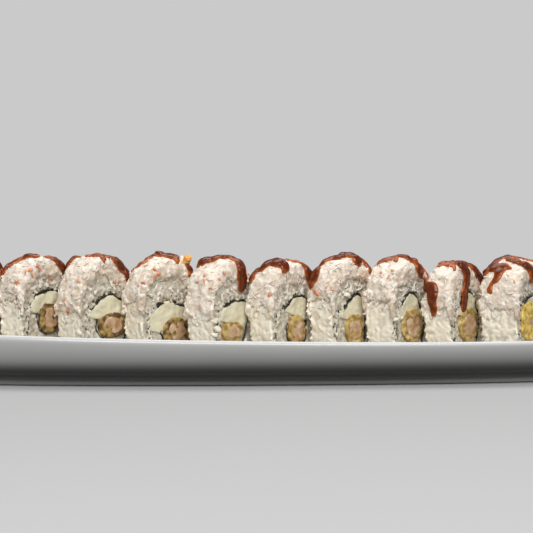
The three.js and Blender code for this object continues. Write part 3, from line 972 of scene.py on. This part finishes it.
@dataclass
class RiceRing(SlicePart):
    """Sticky rice round the nori: whole grains pressed together on its wall, cut ones on its faces."""

    seed: int = 100
    wall_grains: int = 330
    face_grains: int = 250
    grain: Triple = (2.7, 1.15, 0.8)
    covered_above: float = 30.0
    voxel: float = 0.43
    face_crumbs: int = 130
    crumb: Triple = (0.9, 0.7, 0.5)
    # Grey levels of the cut rice: partly nori dust smeared by the knife, partly painted shade under the topping's
    # overhang; the rice inside the nori, which lies deeper, gets its own painted shade.
    outer_grey: float = 0.58
    near_grey: float = 0.72
    inner_grey: float = 0.55
    gap_grey: float = 0.4

    def ring(self) -> Shape:
        """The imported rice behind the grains.

        Returns:
            A thick ring.
        """
        half = self.shape.thick / 2 - 0.45
        made = bmesh.new()
        bmesh.ops.create_circle(made, cap_ends=False, radius=1.0, segments=56)
        angles = {}
        for vert in made.verts:
            angle = math.atan2(vert.co.y, vert.co.x)
            vert.co = self.shape.core_point(angle, -0.1) + Vector((-half, 0, 0))
            angles[vert] = angle
        inner = list(made.verts)
        grown = bmesh.ops.extrude_edge_only(made, edges=list(made.edges))
        for vert in [item for item in grown["geom"] if isinstance(item, Vert)]:
            near = min(inner, key=lambda one: (one.co - vert.co).length_squared)
            vert.co = self.shape.rice_point(angles[near], -0.6) + Vector((-half, 0, 0))
        return drawn_out(made, 2 * half)

    def inner_rice(self) -> Shape:
        """The rice inside the nori, beside and under the shrimp.

        Returns:
            A short bar.
        """
        half = self.shape.thick / 2 - 0.8
        return bar(lambda angle: self.shape.core_point(angle, 0.7), -half, half, 40)

    def wall_places(self) -> list[Matrix]:
        """Where the grains on the wall lie.

        Returns:
            A place for each grain.
        """
        chance, places = self.chance, []
        while len(places) < self.wall_grains:
            angle = chance.uniform(-math.pi, math.pi)
            spot = self.shape.rice_point(angle, -0.8 + chance.uniform(-0.16, 0.1))
            if spot.z > self.covered_above:
                continue
            out = Vector((0, math.cos(angle), math.sin(angle) if spot.z > 0.8 else -1.0))
            out = (out + Vector((chance.uniform(-0.2, 0.2), 0, 0))).normalized()
            spot.x = chance.uniform(-1, 1) * (self.shape.thick / 2 - 1.2)
            spot.z = max(spot.z, 1.0)
            size = Vector(self.grain) * chance.uniform(0.85, 1.12)
            places.append(self.lay(spot, out, size))
        return places

    def face_places(self, side: Side) -> list[Matrix]:
        """Where the grains and crumbs on a cut face lie.

        Args:
            side: Which face.

        Returns:
            A place for each.
        """
        chance, shape, places = self.chance, self.shape, []
        while len(places) < self.face_grains:
            across = chance.uniform(-0.5, 0.5) * shape.wide
            up = chance.uniform(0.8, shape.top - shape.topping_thick)
            if not shape.in_rice(across, up, 1.1):
                continue
            inside = shape.in_core(across, up, 1.2)
            if inside and (not shape.in_core(across, up, -0.9) or shape.in_cream(across, up, 0.5)
                           or shape.in_shrimp(across, up, 0.3)):
                continue
            depth = shape.thick / 2 - 0.85 + chance.uniform(-0.25, 0.1) - (0.15 if inside else 0.0)
            out = Vector((side.value, chance.uniform(-0.3, 0.3), chance.uniform(-0.3, 0.3))).normalized()
            size = Vector(self.grain) * chance.uniform(0.75, 1.05)
            size.x *= chance.uniform(0.6, 1.0)
            spot = Vector((side.value * depth, across, up))
            places.append(self.lay(spot, out, size))
        for _ in range(self.face_crumbs):
            if chance.random() < 0.5:
                spot = shape.core_point(chance.uniform(0.0, 2 * math.pi), chance.uniform(-3.5, 0.4))
            else:
                spot = shape.core_point(chance.uniform(2.3, 4.4), chance.uniform(-0.6, 1.2))
            spot.x = side.value * (shape.thick / 2 - 0.3 + chance.uniform(-0.3, 0.35))
            size = Vector(self.crumb) * chance.uniform(0.5, 1.2)
            places.append(self.lay(spot, Vector((side.value, 0, 0)), size))
        return places

    def painted_shade_and_tone(self, vert: Vert) -> float:
        """Painted shade by how deep a point lies between the grains. Cut rice is a little darker than the wall's:
        partly nori dust, partly painted shade under the topping's overhang and where the rice lies deeper.

        Args:
            vert: The point.

        Returns:
            The level of painted shade and dust, from 0 at the surface to 1 far in.
        """
        below_face = self.shape.thick / 2 - abs(vert.co.x)
        below_wall = self.shape.rice_depth(vert.co.y, vert.co.z)
        plain = (min(below_face, below_wall) - 0.35) / 0.9
        cut_share = min(max((below_wall - below_face) / 1.2, 0.0), 1.0)
        if cut_share == 0:
            return plain
        shift = Vector((self.shape.x, 0, 0))
        grey = self.near_grey if self.shape.in_core(vert.co.y, vert.co.z, 3.2) else self.outer_grey
        if self.shape.in_core(vert.co.y, vert.co.z, 0.0):
            grey = self.inner_grey
        # Random patches of nori dust, and painted shade that deepens under the cut face.
        grey += 0.6 * max(noise.noise(vert.co / 1.6 + shift), -0.25) + (below_face - 0.35) / 1.8
        if noise.noise(vert.co / 0.8 - shift) > 0.38:
            grey += self.gap_grey
        return cut_share * grey + (1 - cut_share) * plain

    def build(self) -> BVHTree:
        """Makes the rice of the slice.

        Returns:
            The rice's surface, in the slice's own frame.
        """
        made = self.ring()
        join(made, self.inner_rice())
        places = self.wall_places()
        for side in Side:
            places += self.face_places(side)
        scatter(made, self.stock.grains, places, self.chance)
        made = remeshed(made, self.voxel, 1)
        roughen(made, self.shape.x + 3, (0.16, 1.1))
        mark(made, "painted_shade_and_tone", self.painted_shade_and_tone)
        skin = BVHTree.FromBMesh(made)
        self.finish(made, "rice_grains", RICE, Slot.RICE)
        return skin


@dataclass
class NoriWrap(SlicePart):
    """The thin wrinkled sheet between the rice and the filling, open in its underside.

    Where the sheet is folded, its inner end lies against the crust of the shrimp.
    """

    seed: int = 200
    around: int = 130
    along: int = 14
    thickness: float = 0.32
    flakes: int = 70
    flake: Triple = (0.55, 0.35, 0.15)
    crust_gap: float = 1.1
    opening: Pair = (-2.05, -1.85)
    doubled: tuple[Pair, ...] = ((0.9, 2.3), (-1.2, 0.0))
    fold: Pair = (2.7, 4.5)

    def sheet(self, line: Callable[[float, float], Vector], start: float, end: float, reach: float) -> Shape:
        """A wrinkled sheet along a line of the section.

        Args:
            line: Gives the section's point by angle and inset.
            start: The angle where the sheet starts.
            end: The angle where it ends.
            reach: How far it stands out of the cut faces.

        Returns:
            The sheet, with no thickness.
        """
        half = self.shape.thick / 2 + reach
        made = bmesh.new()
        bmesh.ops.create_grid(made, x_segments=round(self.around * (end - start) / math.tau),
                              y_segments=self.along, size=1.0)
        seed = Vector((self.shape.x, 3.1, 7.7 + start))
        for vert in made.verts:
            angle = start + (vert.co.x + 1) / 2 * (end - start)
            along = vert.co.y * half
            wrinkle = 0.55 * noise.noise(Vector((math.cos(angle) * 4, math.sin(angle) * 4, along / 9)) + seed)
            fine = 0.4 * noise.noise(Vector((math.cos(angle) * 11, math.sin(angle) * 11, along / 4)) + seed)
            ragged = 0.9 * noise.noise(Vector((angle * 5, vert.co.y, 0.3)) + seed) * vert.co.y
            vert.co = line(angle, 0.35 + wrinkle + fine) + Vector((along + ragged, 0, 0))
        bmesh.ops.recalc_face_normals(made, faces=list(made.faces))
        return made

    def crust_point(self, angle: float, inset: float) -> Vector:
        """A point just outside the crust of the shrimp, inset inside that."""
        across, up, half_width, half_height = self.shape.shrimp
        out = self.crust_gap - inset
        return Vector((0, across, up)) + oval_point(angle, half_width + out, half_height + out, SHRIMP_POWER)

    def flake_places(self) -> list[Matrix]:
        """Where torn bits of the sheet lie on the cut faces.

        Returns:
            A place for each.
        """
        chance, places = self.chance, []
        for _ in range(self.flakes):
            side = chance.choice(list(Side)).value
            spot = self.shape.core_point(chance.uniform(1.2, 4.4), chance.gauss(-0.5, 0.9))
            spot.x = side * (self.shape.thick / 2 + chance.uniform(-0.1, 0.2))
            size = Vector(self.flake) * chance.uniform(0.5, 1.3)
            places.append(self.lay(spot, Vector((side, 0, 0)), size))
        return places

    def build(self) -> None:
        """Makes the sheet and its torn bits."""
        made = self.sheet(self.shape.core_point, self.opening[1], self.opening[0] + 2 * math.pi, -0.1)
        more = [self.sheet(lambda angle, inset: self.shape.core_point(angle, inset + 0.4), *part, 0.15)
                for part in self.doubled]
        if self.shape.folded:
            more.append(self.sheet(self.crust_point, *self.fold, 0.0))
        join(made, *more)
        made = evaluated(made, ("SOLIDIFY", {"thickness": self.thickness, "offset": -1.0}))
        scatter(made, self.stock.shreds, self.flake_places(), self.chance)
        self.finish(made, "nori_wrap", NORI, Slot.NORI)


@dataclass
class Filling(SlicePart):
    """Cream cheese over fried shrimp, cut through with the roll."""

    voxel: float = 0.5
    meat_share: float = 0.68
    last_meat_share: float = 0.28
    browned: tuple[int, ...] = (0, 1, 2, 3)
    cream_reach: float = 0.2
    crust_reach: float = 1.0
    meat_reach: float = 1.35

    @property
    def is_last(self) -> bool:
        """Whether this is the slice at the right end, whose crust is thicker and yellower."""
        return self.shape.number == ROW[-1].number

    def cream(self) -> None:
        """Makes the cream cheese, which fills the top and the right of the nori."""
        half = self.shape.thick / 2 + self.cream_reach
        block = bar(lambda angle: self.shape.core_point(angle, 0.85), -half, half, 48)
        left, under = self.shape.cream
        for spot, away in ((Vector((0, left, under + 0.4)), Vector((0, -0.28, -1))),
                           (Vector((0, left - 1.2, 0)), Vector((0, -1, -0.15)))):
            cut = bmesh.ops.bisect_plane(block, geom=[*block.verts, *block.edges, *block.faces],
                                         plane_co=spot, plane_no=away, clear_outer=True)
            edges = [item for item in cut["geom_cut"] if isinstance(item, bmesh.types.BMEdge)]
            if edges:
                bmesh.ops.contextual_create(block, geom=edges)
        made = remeshed(block, self.voxel, 6)
        roughen(made, self.shape.x, (0.7, 5.0), (0.3, 1.8))
        self.finish(made, "cream_layer", CREAM, Slot.CREAM)

    def oval_bar(self, share: float, reach: float, smooth: int) -> Shape:
        """A bar along the shrimp.

        Args:
            share: Its width as a share of the whole crust's.
            reach: How far it stands out of the cut faces.
            smooth: How many times it is smoothed.

        Returns:
            The bar.
        """
        across, up, half_width, half_height = self.shape.shrimp
        half = self.shape.thick / 2 + reach

        def oval(angle: float) -> Vector:
            """A point of its outline."""
            return Vector((0, across, up)) + oval_point(angle, half_width * share, half_height * share, SHRIMP_POWER)

        return remeshed(bar(oval, -half, half, 32), self.voxel, smooth)

    def crust(self) -> None:
        """Makes the craggy fried batter."""
        made = self.oval_bar(1.0, self.crust_reach, 3)
        roughen(made, self.shape.x + 5, (0.7, 3.4), (0.4, 1.3))
        mark(made, "painted_shade_and_tone", lambda vert: 0.5 + 1.6 * noise.noise(vert.co / 2.2 + Vector((self.shape.x, 0, 0))))
        finish = BROWN_BATTER if self.shape.number in self.browned else GOLDEN_BATTER
        self.finish(made, "batter_crust", YELLOW_BATTER if self.is_last else finish, Slot.BATTER)

    def meat(self) -> None:
        """Makes the cut shrimp inside the crust."""
        made = self.oval_bar(self.last_meat_share if self.is_last else self.meat_share, self.meat_reach, 6)
        roughen(made, self.shape.x + 9, (0.6, 4.0), (0.25, 1.2))
        mark(made, "painted_shade_and_tone", lambda vert: 0.3 + 1.2 * noise.noise(vert.co / 2.6 + Vector((0, self.shape.x, 0))))
        self.finish(made, "shrimp_cut", SHRIMP, Slot.SHRIMP)

    def build(self) -> None:
        """Makes the cream cheese, the crust and the shrimp."""
        self.cream()
        self.crust()
        self.meat()


@dataclass
class CrabTopping(SlicePart):
    """Shredded crab salad over the rice, with flecks of its red skin."""

    seed: int = 300
    along: int = 40
    around: int = 96
    sweep: float = math.pi / 2 + 0.30
    overhang: float = 0.5
    lip: float = 2.6
    lip_from: float = 0.8
    shreds: int = 620
    crumbs: int = 380
    stray: int = 60
    face_stray: int = 90
    loose: int = 90
    shred: Triple = (2.4, 0.62, 0.5)
    crumb: Triple = (1.2, 0.95, 0.7)
    loose_shred: Triple = (1.5, 0.34, 0.26)
    shell: float = 1.6
    random_flecks: int = 5
    voxel: float = 0.45

    def dome(self) -> Shape:
        """The lumpy mass of the topping, which hangs a little over the cut faces.

        Returns:
            An open shell.
        """
        shape = self.shape
        half = shape.thick / 2 + self.overhang
        seed = Vector((shape.x, 5.5, 1.5))
        made = bmesh.new()
        bmesh.ops.create_grid(made, x_segments=self.around, y_segments=self.along, size=1.0)
        for vert in made.verts:
            end = math.copysign(3.0, vert.co.x)
            ragged = 0.13 * abs(vert.co.x) ** 3 * noise.noise(Vector((vert.co.y * half / 4, end, 0)) + seed)
            angle = vert.co.x * self.sweep + math.copysign(1.0, vert.co.x) * 1.6 * ragged
            side = math.copysign(1.0, vert.co.y)
            lean = min(abs(vert.co.y) / self.lip_from, 1.0) * math.pi / 2
            lip = max(0.0, (abs(vert.co.y) - self.lip_from) / (1 - self.lip_from))
            outer = shape.dome_point(angle)
            torn = 1 + 0.9 * noise.noise(Vector((angle * 4, side * 3.0, 0.7)) + seed)
            hang = self.lip * lip * max(0.25, math.cos(angle * 0.8)) * torn
            inner = shape.rice_point(math.pi / 2 - angle, -0.3 - hang)
            if abs(angle) > math.pi / 2:
                inner.z = outer.z
            point = inner.lerp(outer, math.cos(lean) ** 0.62 if lip == 0 else 0.0)
            rise = max(0.0, (point.z - shape.topping_middle) / (shape.top - shape.topping_middle))
            ahead = (1 + vert.co.y) / 2
            point.x = side * (half * math.sin(lean) ** 0.72 - 0.9 * lip**2) + shape.forward * rise * ahead * (1 - lip)
            point.z -= 0.6 * shape.forward * rise * (1 - ahead)
            vert.co = point
        bmesh.ops.recalc_face_normals(made, faces=list(made.faces))
        crown = max(made.verts, key=lambda vert: vert.co.z)
        crown.normal_update()
        if crown.normal.z < 0:
            bmesh.ops.reverse_faces(made, faces=list(made.faces))
        roughen(made, self.shape.x + 1, (1.0, 8.0), (0.8, 3.4), (0.35, 1.5))
        return made

    def on_surface(self, skin: Shape, count: int, size: Vector, sink: float) -> list[Matrix]:
        """Where small pieces lie on the dome.

        Args:
            skin: The dome.
            count: How many pieces.
            size: Their half sizes.
            sink: How far they are sunk in.

        Returns:
            A place for each.
        """
        chance, places = self.chance, []
        for spot, out in sample(skin, count, chance):
            lean = Vector([chance.uniform(-0.25, 0.25) for _ in range(3)])
            grown = size * chance.uniform(0.6, 1.2)
            places.append(self.lay(spot - out * sink, (out + lean).normalized(), grown))
        return places

    def stray_places(self) -> list[Matrix]:
        """Where crumbs lie on the wall and on the cut faces under the topping's edge.

        Returns:
            A place for each.
        """
        chance, places = self.chance, []
        for _ in range(self.stray):
            up = self.shape.edge + 1.5 - chance.uniform(0.0, 6.5)
            side = chance.choice((-1, 1))
            along = chance.uniform(-1, 1) * (self.shape.thick / 2 - 0.8)
            spot = Vector((along, side * (self.shape.wide / 2 - 0.15), up))
            size = Vector((1.1, 0.7, 0.4)) * chance.uniform(0.6, 1.3)
            places.append(self.lay(spot, Vector((0, side, 0.15)).normalized(), size))
        while len(places) < self.stray + self.face_stray:
            side = chance.choice(list(Side)).value
            angle = chance.uniform(-0.2, math.pi + 0.2)
            spot = self.shape.rice_point(angle, -chance.uniform(2.5, 9.0))
            if self.shape.in_core(spot.y, spot.z, 0.8) or spot.z < self.shape.edge:
                continue
            spot.x = side * (self.shape.thick / 2 - 0.1)
            size = Vector((1.2, 0.6, 0.4)) * chance.uniform(0.6, 1.3)
            places.append(self.lay(spot, Vector((side, 0, 0.1)).normalized(), size))
        return places

    def flecks(self, bare: Shape, tree: BVHTree) -> None:
        """Makes the red flecks, where the photograph shows them and a few more.

        Args:
            bare: The dome.
            tree: The dome's surface.
        """
        chance, view, places = self.chance, self.stock.view, []
        for x, y, half in FLECKS.get(self.shape.number, ()):
            found = view.hit(tree, self.shape.place, (x, y), 4.0)
            if found:
                spot, out = found
                for _ in range(3):
                    size = Vector((half * view.pixel * chance.uniform(0.7, 1.15), 0.5, 0.4))
                    aside = Vector([chance.uniform(-0.35, 0.35) * half * view.pixel for _ in range(3)])
                    places.append(self.lay(spot + out * 0.45 + aside, out, size))
        for spot, out in sample(bare, self.random_flecks, chance):
            size = Vector((1.4, 0.5, 0.35)) * chance.uniform(0.6, 1.1)
            places.append(self.lay(spot + out * 0.4, out, size))
        made = bmesh.new()
        scatter(made, self.stock.shreds, places, chance)
        self.finish(made, "crab_flecks", FLECK, Slot.FLECK)

    def build(self) -> BVHTree:
        """Makes the topping and its flecks.

        Returns:
            The bare dome's surface, on which the sauce lies.
        """
        kinds = self.stock.shreds
        bare = self.dome()
        bare.normal_update()
        tree = BVHTree.FromBMesh(bare)
        made = evaluated(bare.copy(), ("SOLIDIFY", {"thickness": self.shell, "offset": -1.0}))
        places = self.on_surface(bare, self.shreds, Vector(self.shred), 0.2)
        places += self.on_surface(bare, self.crumbs, Vector(self.crumb), 0.35)
        places += self.stray_places()
        scatter(made, kinds, places, self.chance)
        made = remeshed(made, self.voxel, 3)
        roughen(made, self.shape.x + 2, (0.2, 1.0))
        scatter(made, kinds, self.on_surface(bare, self.loose, Vector(self.loose_shred), -0.42), self.chance)

        def painted_shade_and_tone(vert: Vert) -> float:
            """Painted shade by how deep a point lies between the shreds, deeper still low on the cut faces under the
            topping's overhang.
            """
            near, out, _, _ = tree.find_nearest(vert.co)
            low_face = abs(vert.co.x) > self.shape.thick / 2 - 0.6 and vert.co.z < self.shape.top - 7.5
            return (0.95 if low_face else 0.55) - (vert.co - near).dot(out) / 0.5

        mark(made, "painted_shade_and_tone", painted_shade_and_tone)
        self.finish(made, "crab_salad", CRAB, Slot.CRAB)
        self.flecks(bare, tree)
        bare.free()
        return tree


@dataclass
class SauceLines(SlicePart):
    """Thick glaze zigzagged over the topping, with the drips that run from it."""

    under: BVHTree | None = None
    rice: BVHTree | None = None
    step: float = 1.2
    flat: float = 0.42
    widest: float = 3.3
    lowest_pixel: float = 14.0
    skin: float = 0.4
    voxel: float = 0.33
    face_reach: float = 0.4
    least_away: float = -0.35
    company: float = 3.0
    fewest: int = 4

    @cached_property
    def eye(self) -> Vector:
        """Where the camera stands in the slice's own frame."""
        return self.shape.place.inverted() @ self.stock.view.position

    def landing(self, pixel: Pair) -> Hit | None:
        """Where a pixel of the photograph falls on the slice.

        Args:
            pixel: The pixel.

        Returns:
            The nearest point on the topping or under it and the normal there, or None.
        """
        view, place = self.stock.view, self.shape.place
        below = view.hit(self.rice, place, pixel)
        if below and below[0].x > self.shape.thick / 2 - 2.5:
            below = Vector((self.shape.thick / 2 + self.face_reach, below[0].y, below[0].z)), Vector((1, 0, 0))
        hits = [hit for hit in (view.hit(self.under, place, pixel), below) if hit]
        if hits:
            return min(hits, key=lambda hit: (hit[0] - self.eye).length)
        return view.hit(self.under, place, pixel, self.lowest_pixel)

    def shown(self) -> list[tuple[Vector, Vector, float]]:
        """The blobs of sauce that the photograph shows.

        Returns:
            Each one's place on the topping, the surface's normal there and its half width.
        """
        blobs = []
        for stroke in SAUCE[self.shape.number]:
            for x, y, half in smooth_line(stroke, self.step):
                found = self.landing((x, y))
                if not found:
                    continue
                spot, out = found
                facing = abs(out.dot((self.eye - spot).normalized()))
                seen = half * self.stock.view.pixel
                wide = seen / math.sqrt(facing**2 + self.flat**2 * (1 - facing**2))
                blobs.append((spot, out, min(wide, self.widest)))
        return blobs

    def hidden(self, shown: list[tuple[Vector, Vector, float]]) -> list[tuple[Vector, Vector, float]]:
        """The same lines turned half round, on the side that the photograph doesn't show.

        Args:
            shown: The blobs that it shows.

        Returns:
            More blobs, without the lone ones.
        """
        blobs = []
        for spot, _, wide in shown:
            near, out, _, _ = self.under.find_nearest(Vector((-spot.x, -spot.y, spot.z)))
            if out.dot((self.eye - near).normalized()) < self.least_away:
                blobs.append((near, out, wide))
        return [one for one in blobs
                if sum((other[0] - one[0]).length < self.company for other in blobs) > self.fewest]

    def depth(self, vert: Vert) -> float:
        """How thick the sauce is under a point."""
        far = min(tree.find_nearest(vert.co)[3] for tree in (self.under, self.rice))
        return ((far - self.skin) / 1.3) ** 1.3 * 0.75 if far > self.skin else 0.0

    def build(self) -> None:
        """Makes the sauce of the slice."""
        made = bmesh.new()
        shown = self.shown()
        for spot, out, wide in [*shown, *self.hidden(shown)]:
            size = Vector((wide, wide, max(self.flat * wide, 0.6)))
            place = turned(spot + out * self.skin, out, 0.0, size)
            bmesh.ops.create_icosphere(made, subdivisions=2, radius=1.0, matrix=place)
        made = remeshed(made, self.voxel, 8)
        mark(made, "depth", self.depth)
        self.finish(made, "sauce_lines", SauceFinish(), Slot.SAUCE)


@dataclass(frozen=True)
class Crumb:
    """One small lump where the photograph shows it, in pixels."""

    number: int
    x: float
    y: float
    half_wide: float
    half_high: float


@dataclass
class LooseCrumbs:
    """Fried crumbs and stray grains that stick to the slices."""

    view: "View"
    skins: dict[int, tuple[BVHTree, BVHTree]]
    orange: tuple[Crumb, ...] = (Crumb(3, 187, 259.3, 4, 3.6),)
    golden: tuple[Crumb, ...] = (Crumb(2, 124, 303.5, 3, 4.5), Crumb(3, 185.5, 262.5, 3.5, 3))
    pink: tuple[Crumb, ...] = (Crumb(6, 361.5, 300.5, 2, 5),)
    white: tuple[Crumb, ...] = (
        Crumb(6, 346, 295, 3.5, 2), Crumb(4, 214, 321, 3, 3.5), Crumb(4, 217, 329, 3.5, 3), Crumb(4, 214, 335, 3, 2.5),
        Crumb(7, 394, 319, 4, 2), Crumb(7, 400, 318, 3, 2), Crumb(3, 150, 295, 3, 1.5), Crumb(3, 182, 260, 3, 3.2),
    )

    def lumps(self, crumbs: tuple[Crumb, ...]) -> Shape:
        """Makes some of the crumbs.

        Args:
            crumbs: Which ones.

        Returns:
            Their shape, in metres.
        """
        made = bmesh.new()
        for crumb in crumbs:
            place = ROW[crumb.number].place
            hits = [self.view.hit(skin, place, (crumb.x, crumb.y), 9.0) for skin in self.skins[crumb.number]]
            hits = [hit for hit in hits if hit]
            eye = place.inverted() @ self.view.position
            spot, out = min(hits, key=lambda hit: (hit[0] - eye).length)
            towards = (place.inverted() @ self.view.point((crumb.x, crumb.y)) - eye).normalized()
            spot = eye + towards * (spot - eye).length
            lump = bmesh.new()
            bmesh.ops.create_icosphere(lump, subdivisions=3, radius=1.0)
            roughen(lump, crumb.x, (0.7, 1.0), (0.3, 0.4))
            size = Vector((crumb.half_wide, (crumb.half_wide + crumb.half_high) / 2, crumb.half_high)) * self.view.pixel
            lump.transform(place @ Matrix.Translation(spot + out * 0.4) @ Matrix.Diagonal((*size, 1.0)))
            join(made, lump)
        return made

    def build(self) -> None:
        """Makes the crumbs of each kind."""
        for crumbs, name, finish, slot in (
            (self.orange, "orange_crumbs", ORANGE_BATTER, Slot.BATTER),
            (self.golden, "golden_crumb", GOLDEN_BATTER, Slot.BATTER),
            (self.pink, "crab_stick_end", FLECK, Slot.FLECK),
            (self.white, "stray_grains", RICE, Slot.RICE),
        ):
            finished(self.lumps(crumbs), name, Matrix.Identity(4), finish, slot)


@dataclass
class View:
    """The photograph's level view of the row, a little from the left."""

    yaw: float = 4.0
    distance: float = 645.0
    height: float = 52.8
    focal_pixels: float = 1364.0
    frame_pixels: float = 533.0
    sensor: float = 36.0
    pixel: float = 0.473

    @property
    def forward(self) -> Vector:
        """The direction in which the camera looks."""
        return Vector((math.sin(math.radians(self.yaw)), math.cos(math.radians(self.yaw)), 0))

    @property
    def position(self) -> Vector:
        """Where the camera stands, in metres."""
        return (Vector((0, 0, self.height)) - self.forward * self.distance) * MM

    def point(self, pixel: Pair) -> Vector:
        """A point in front of the camera that falls on a pixel of the photograph.

        Args:
            pixel: The pixel, from the left and from the top.

        Returns:
            The point, in metres.
        """
        right = Vector((self.forward.y, -self.forward.x, 0))
        middle = self.frame_pixels / 2
        aside = (pixel[0] - middle) / self.focal_pixels
        down = (pixel[1] - middle) / self.focal_pixels
        return self.position + self.forward + right * aside + Vector((0, 0, -down))

    def hit(self, skin: BVHTree, place: Matrix, pixel: Pair, lower: float = 0.0) -> Hit | None:
        """Where a pixel of the photograph falls on a surface.

        Args:
            skin: The surface, in a slice's own frame.
            place: The slice's place.
            pixel: The pixel.
            lower: How many pixels further down to look, if the pixel is above the surface.

        Returns:
            The point and its normal in the slice's own frame, or None.
        """
        back = place.inverted()
        eye = back @ self.position
        for step in range(int(lower * 2) + 1):
            towards = (back @ self.point((pixel[0], pixel[1] + step / 2)) - eye).normalized()
            spot, out, _, _ = skin.ray_cast(eye, towards)
            if spot:
                return spot, out
        return None

    def build(self) -> None:
        """Makes the camera."""
        data = bpy.data.cameras.new("photo_view")
        data.sensor_width = self.sensor
        data.lens = self.sensor * self.focal_pixels / self.frame_pixels
        data.clip_start = 0.01
        data.clip_end = 50
        camera = linked("photo_view", data)
        camera.location = self.position
        camera.rotation_euler = (math.pi / 2, 0, -math.radians(self.yaw))
        bpy.context.scene.camera = camera


@dataclass(frozen=True)
class SoftBox:
    """One soft lamp that looks at the row."""

    name: str
    spot: Triple
    aim: Triple
    width: float
    depth: float
    power: float

    def build(self) -> None:
        """Makes the lamp."""
        data = bpy.data.lights.new(self.name, "AREA")
        data.shape = "RECTANGLE"
        data.size = self.width
        data.size_y = self.depth
        data.energy = self.power
        lamp = linked(self.name, data)
        lamp.location = self.spot
        lamp.rotation_euler = (Vector(self.aim) - Vector(self.spot)).to_track_quat("-Z", "Y").to_euler()


@dataclass(frozen=True)
class FloorFinish(Finish):
    """A floor that looks pale but throws little light back up."""

    name: str = "pale_floor"
    seen: Colour = (0.45, 0.45, 0.45)
    thrown: Colour = (0.05, 0.05, 0.05)

    def paint(self, bench: NodeBench, shader: bpy.types.Node) -> None:
        """Gives the camera the pale colour and every other ray the dark one."""
        path = bench.add("ShaderNodeLightPath").outputs["Is Camera Ray"]
        bench.set(shader, Base_Color=bench.mix(path, self.thrown, self.seen), Roughness=0.9, Specular_IOR_Level=0.1)


@dataclass
class Studio:
    """A plain pale floor, a grey surround and soft lamps."""

    surround: Colour = (0.591, 0.591, 0.591)
    ambient: float = 0.30
    lamps: tuple[SoftBox, ...] = (
        SoftBox("top_lamp", (0.05, 0.45, 1.1), (0, 0, 0.03), 1.3, 0.9, 8.0),
        SoftBox("front_lamp", (0.0, -1.0, 0.9), (0, 0, 0.03), 1.2, 0.6, 18.0),
    )

    def floor(self) -> None:
        """Makes the floor."""
        shape = bmesh.new()
        bmesh.ops.create_circle(shape, cap_ends=True, radius=6.0, segments=96)
        piece = linked("studio_floor", baked(shape, "studio_floor"))
        piece.data.materials.append(FloorFinish().material())

    def world(self) -> None:
        """Makes the plain grey surround, which lights the row less than it shows."""
        world = bpy.data.worlds.new("surround")
        world.use_nodes = True
        bench = NodeBench(world.node_tree)
        path = bench.add("ShaderNodeLightPath").outputs["Is Camera Ray"]
        level = bench.add("ShaderNodeMapRange", Value=path, To_Min=self.ambient, To_Max=1.0)
        bench.set(world.node_tree.nodes["Background"], Color=self.surround, Strength=level.outputs["Result"])
        bpy.context.scene.world = world
        bpy.context.scene.view_settings.view_transform = "Standard"

    def build(self) -> None:
        """Makes the floor, the surround and the lamps."""
        self.floor()
        self.world()
        for lamp in self.lamps:
            lamp.build()


@dataclass
class SushiRow:
    """The plate and its ten slices."""

    view: View

    def build(self) -> None:
        """Makes every piece of the object."""
        stock = Stock(self.view, pellets(5, 6, 8, 0.16, 11, "grain"), pellets(6, 5, 5, 0.5, 12, "shred"))
        Plate().build()
        skins = {}
        for shape in ROW:
            rice = RiceRing(shape, stock).build()
            NoriWrap(shape, stock).build()
            Filling(shape, stock).build()
            topping = CrabTopping(shape, stock).build()
            SauceLines(shape, stock, under=topping, rice=rice).build()
            skins[shape.number] = (rice, topping)
        LooseCrumbs(self.view, skins).build()


def main() -> None:
    """Builds the view, the object and the studio."""
    logging.basicConfig(level=logging.INFO, format="%(message)s")
    view = View()
    view.build()
    SushiRow(view).build()
    Studio().build()


if __name__ == "__main__":
    main()
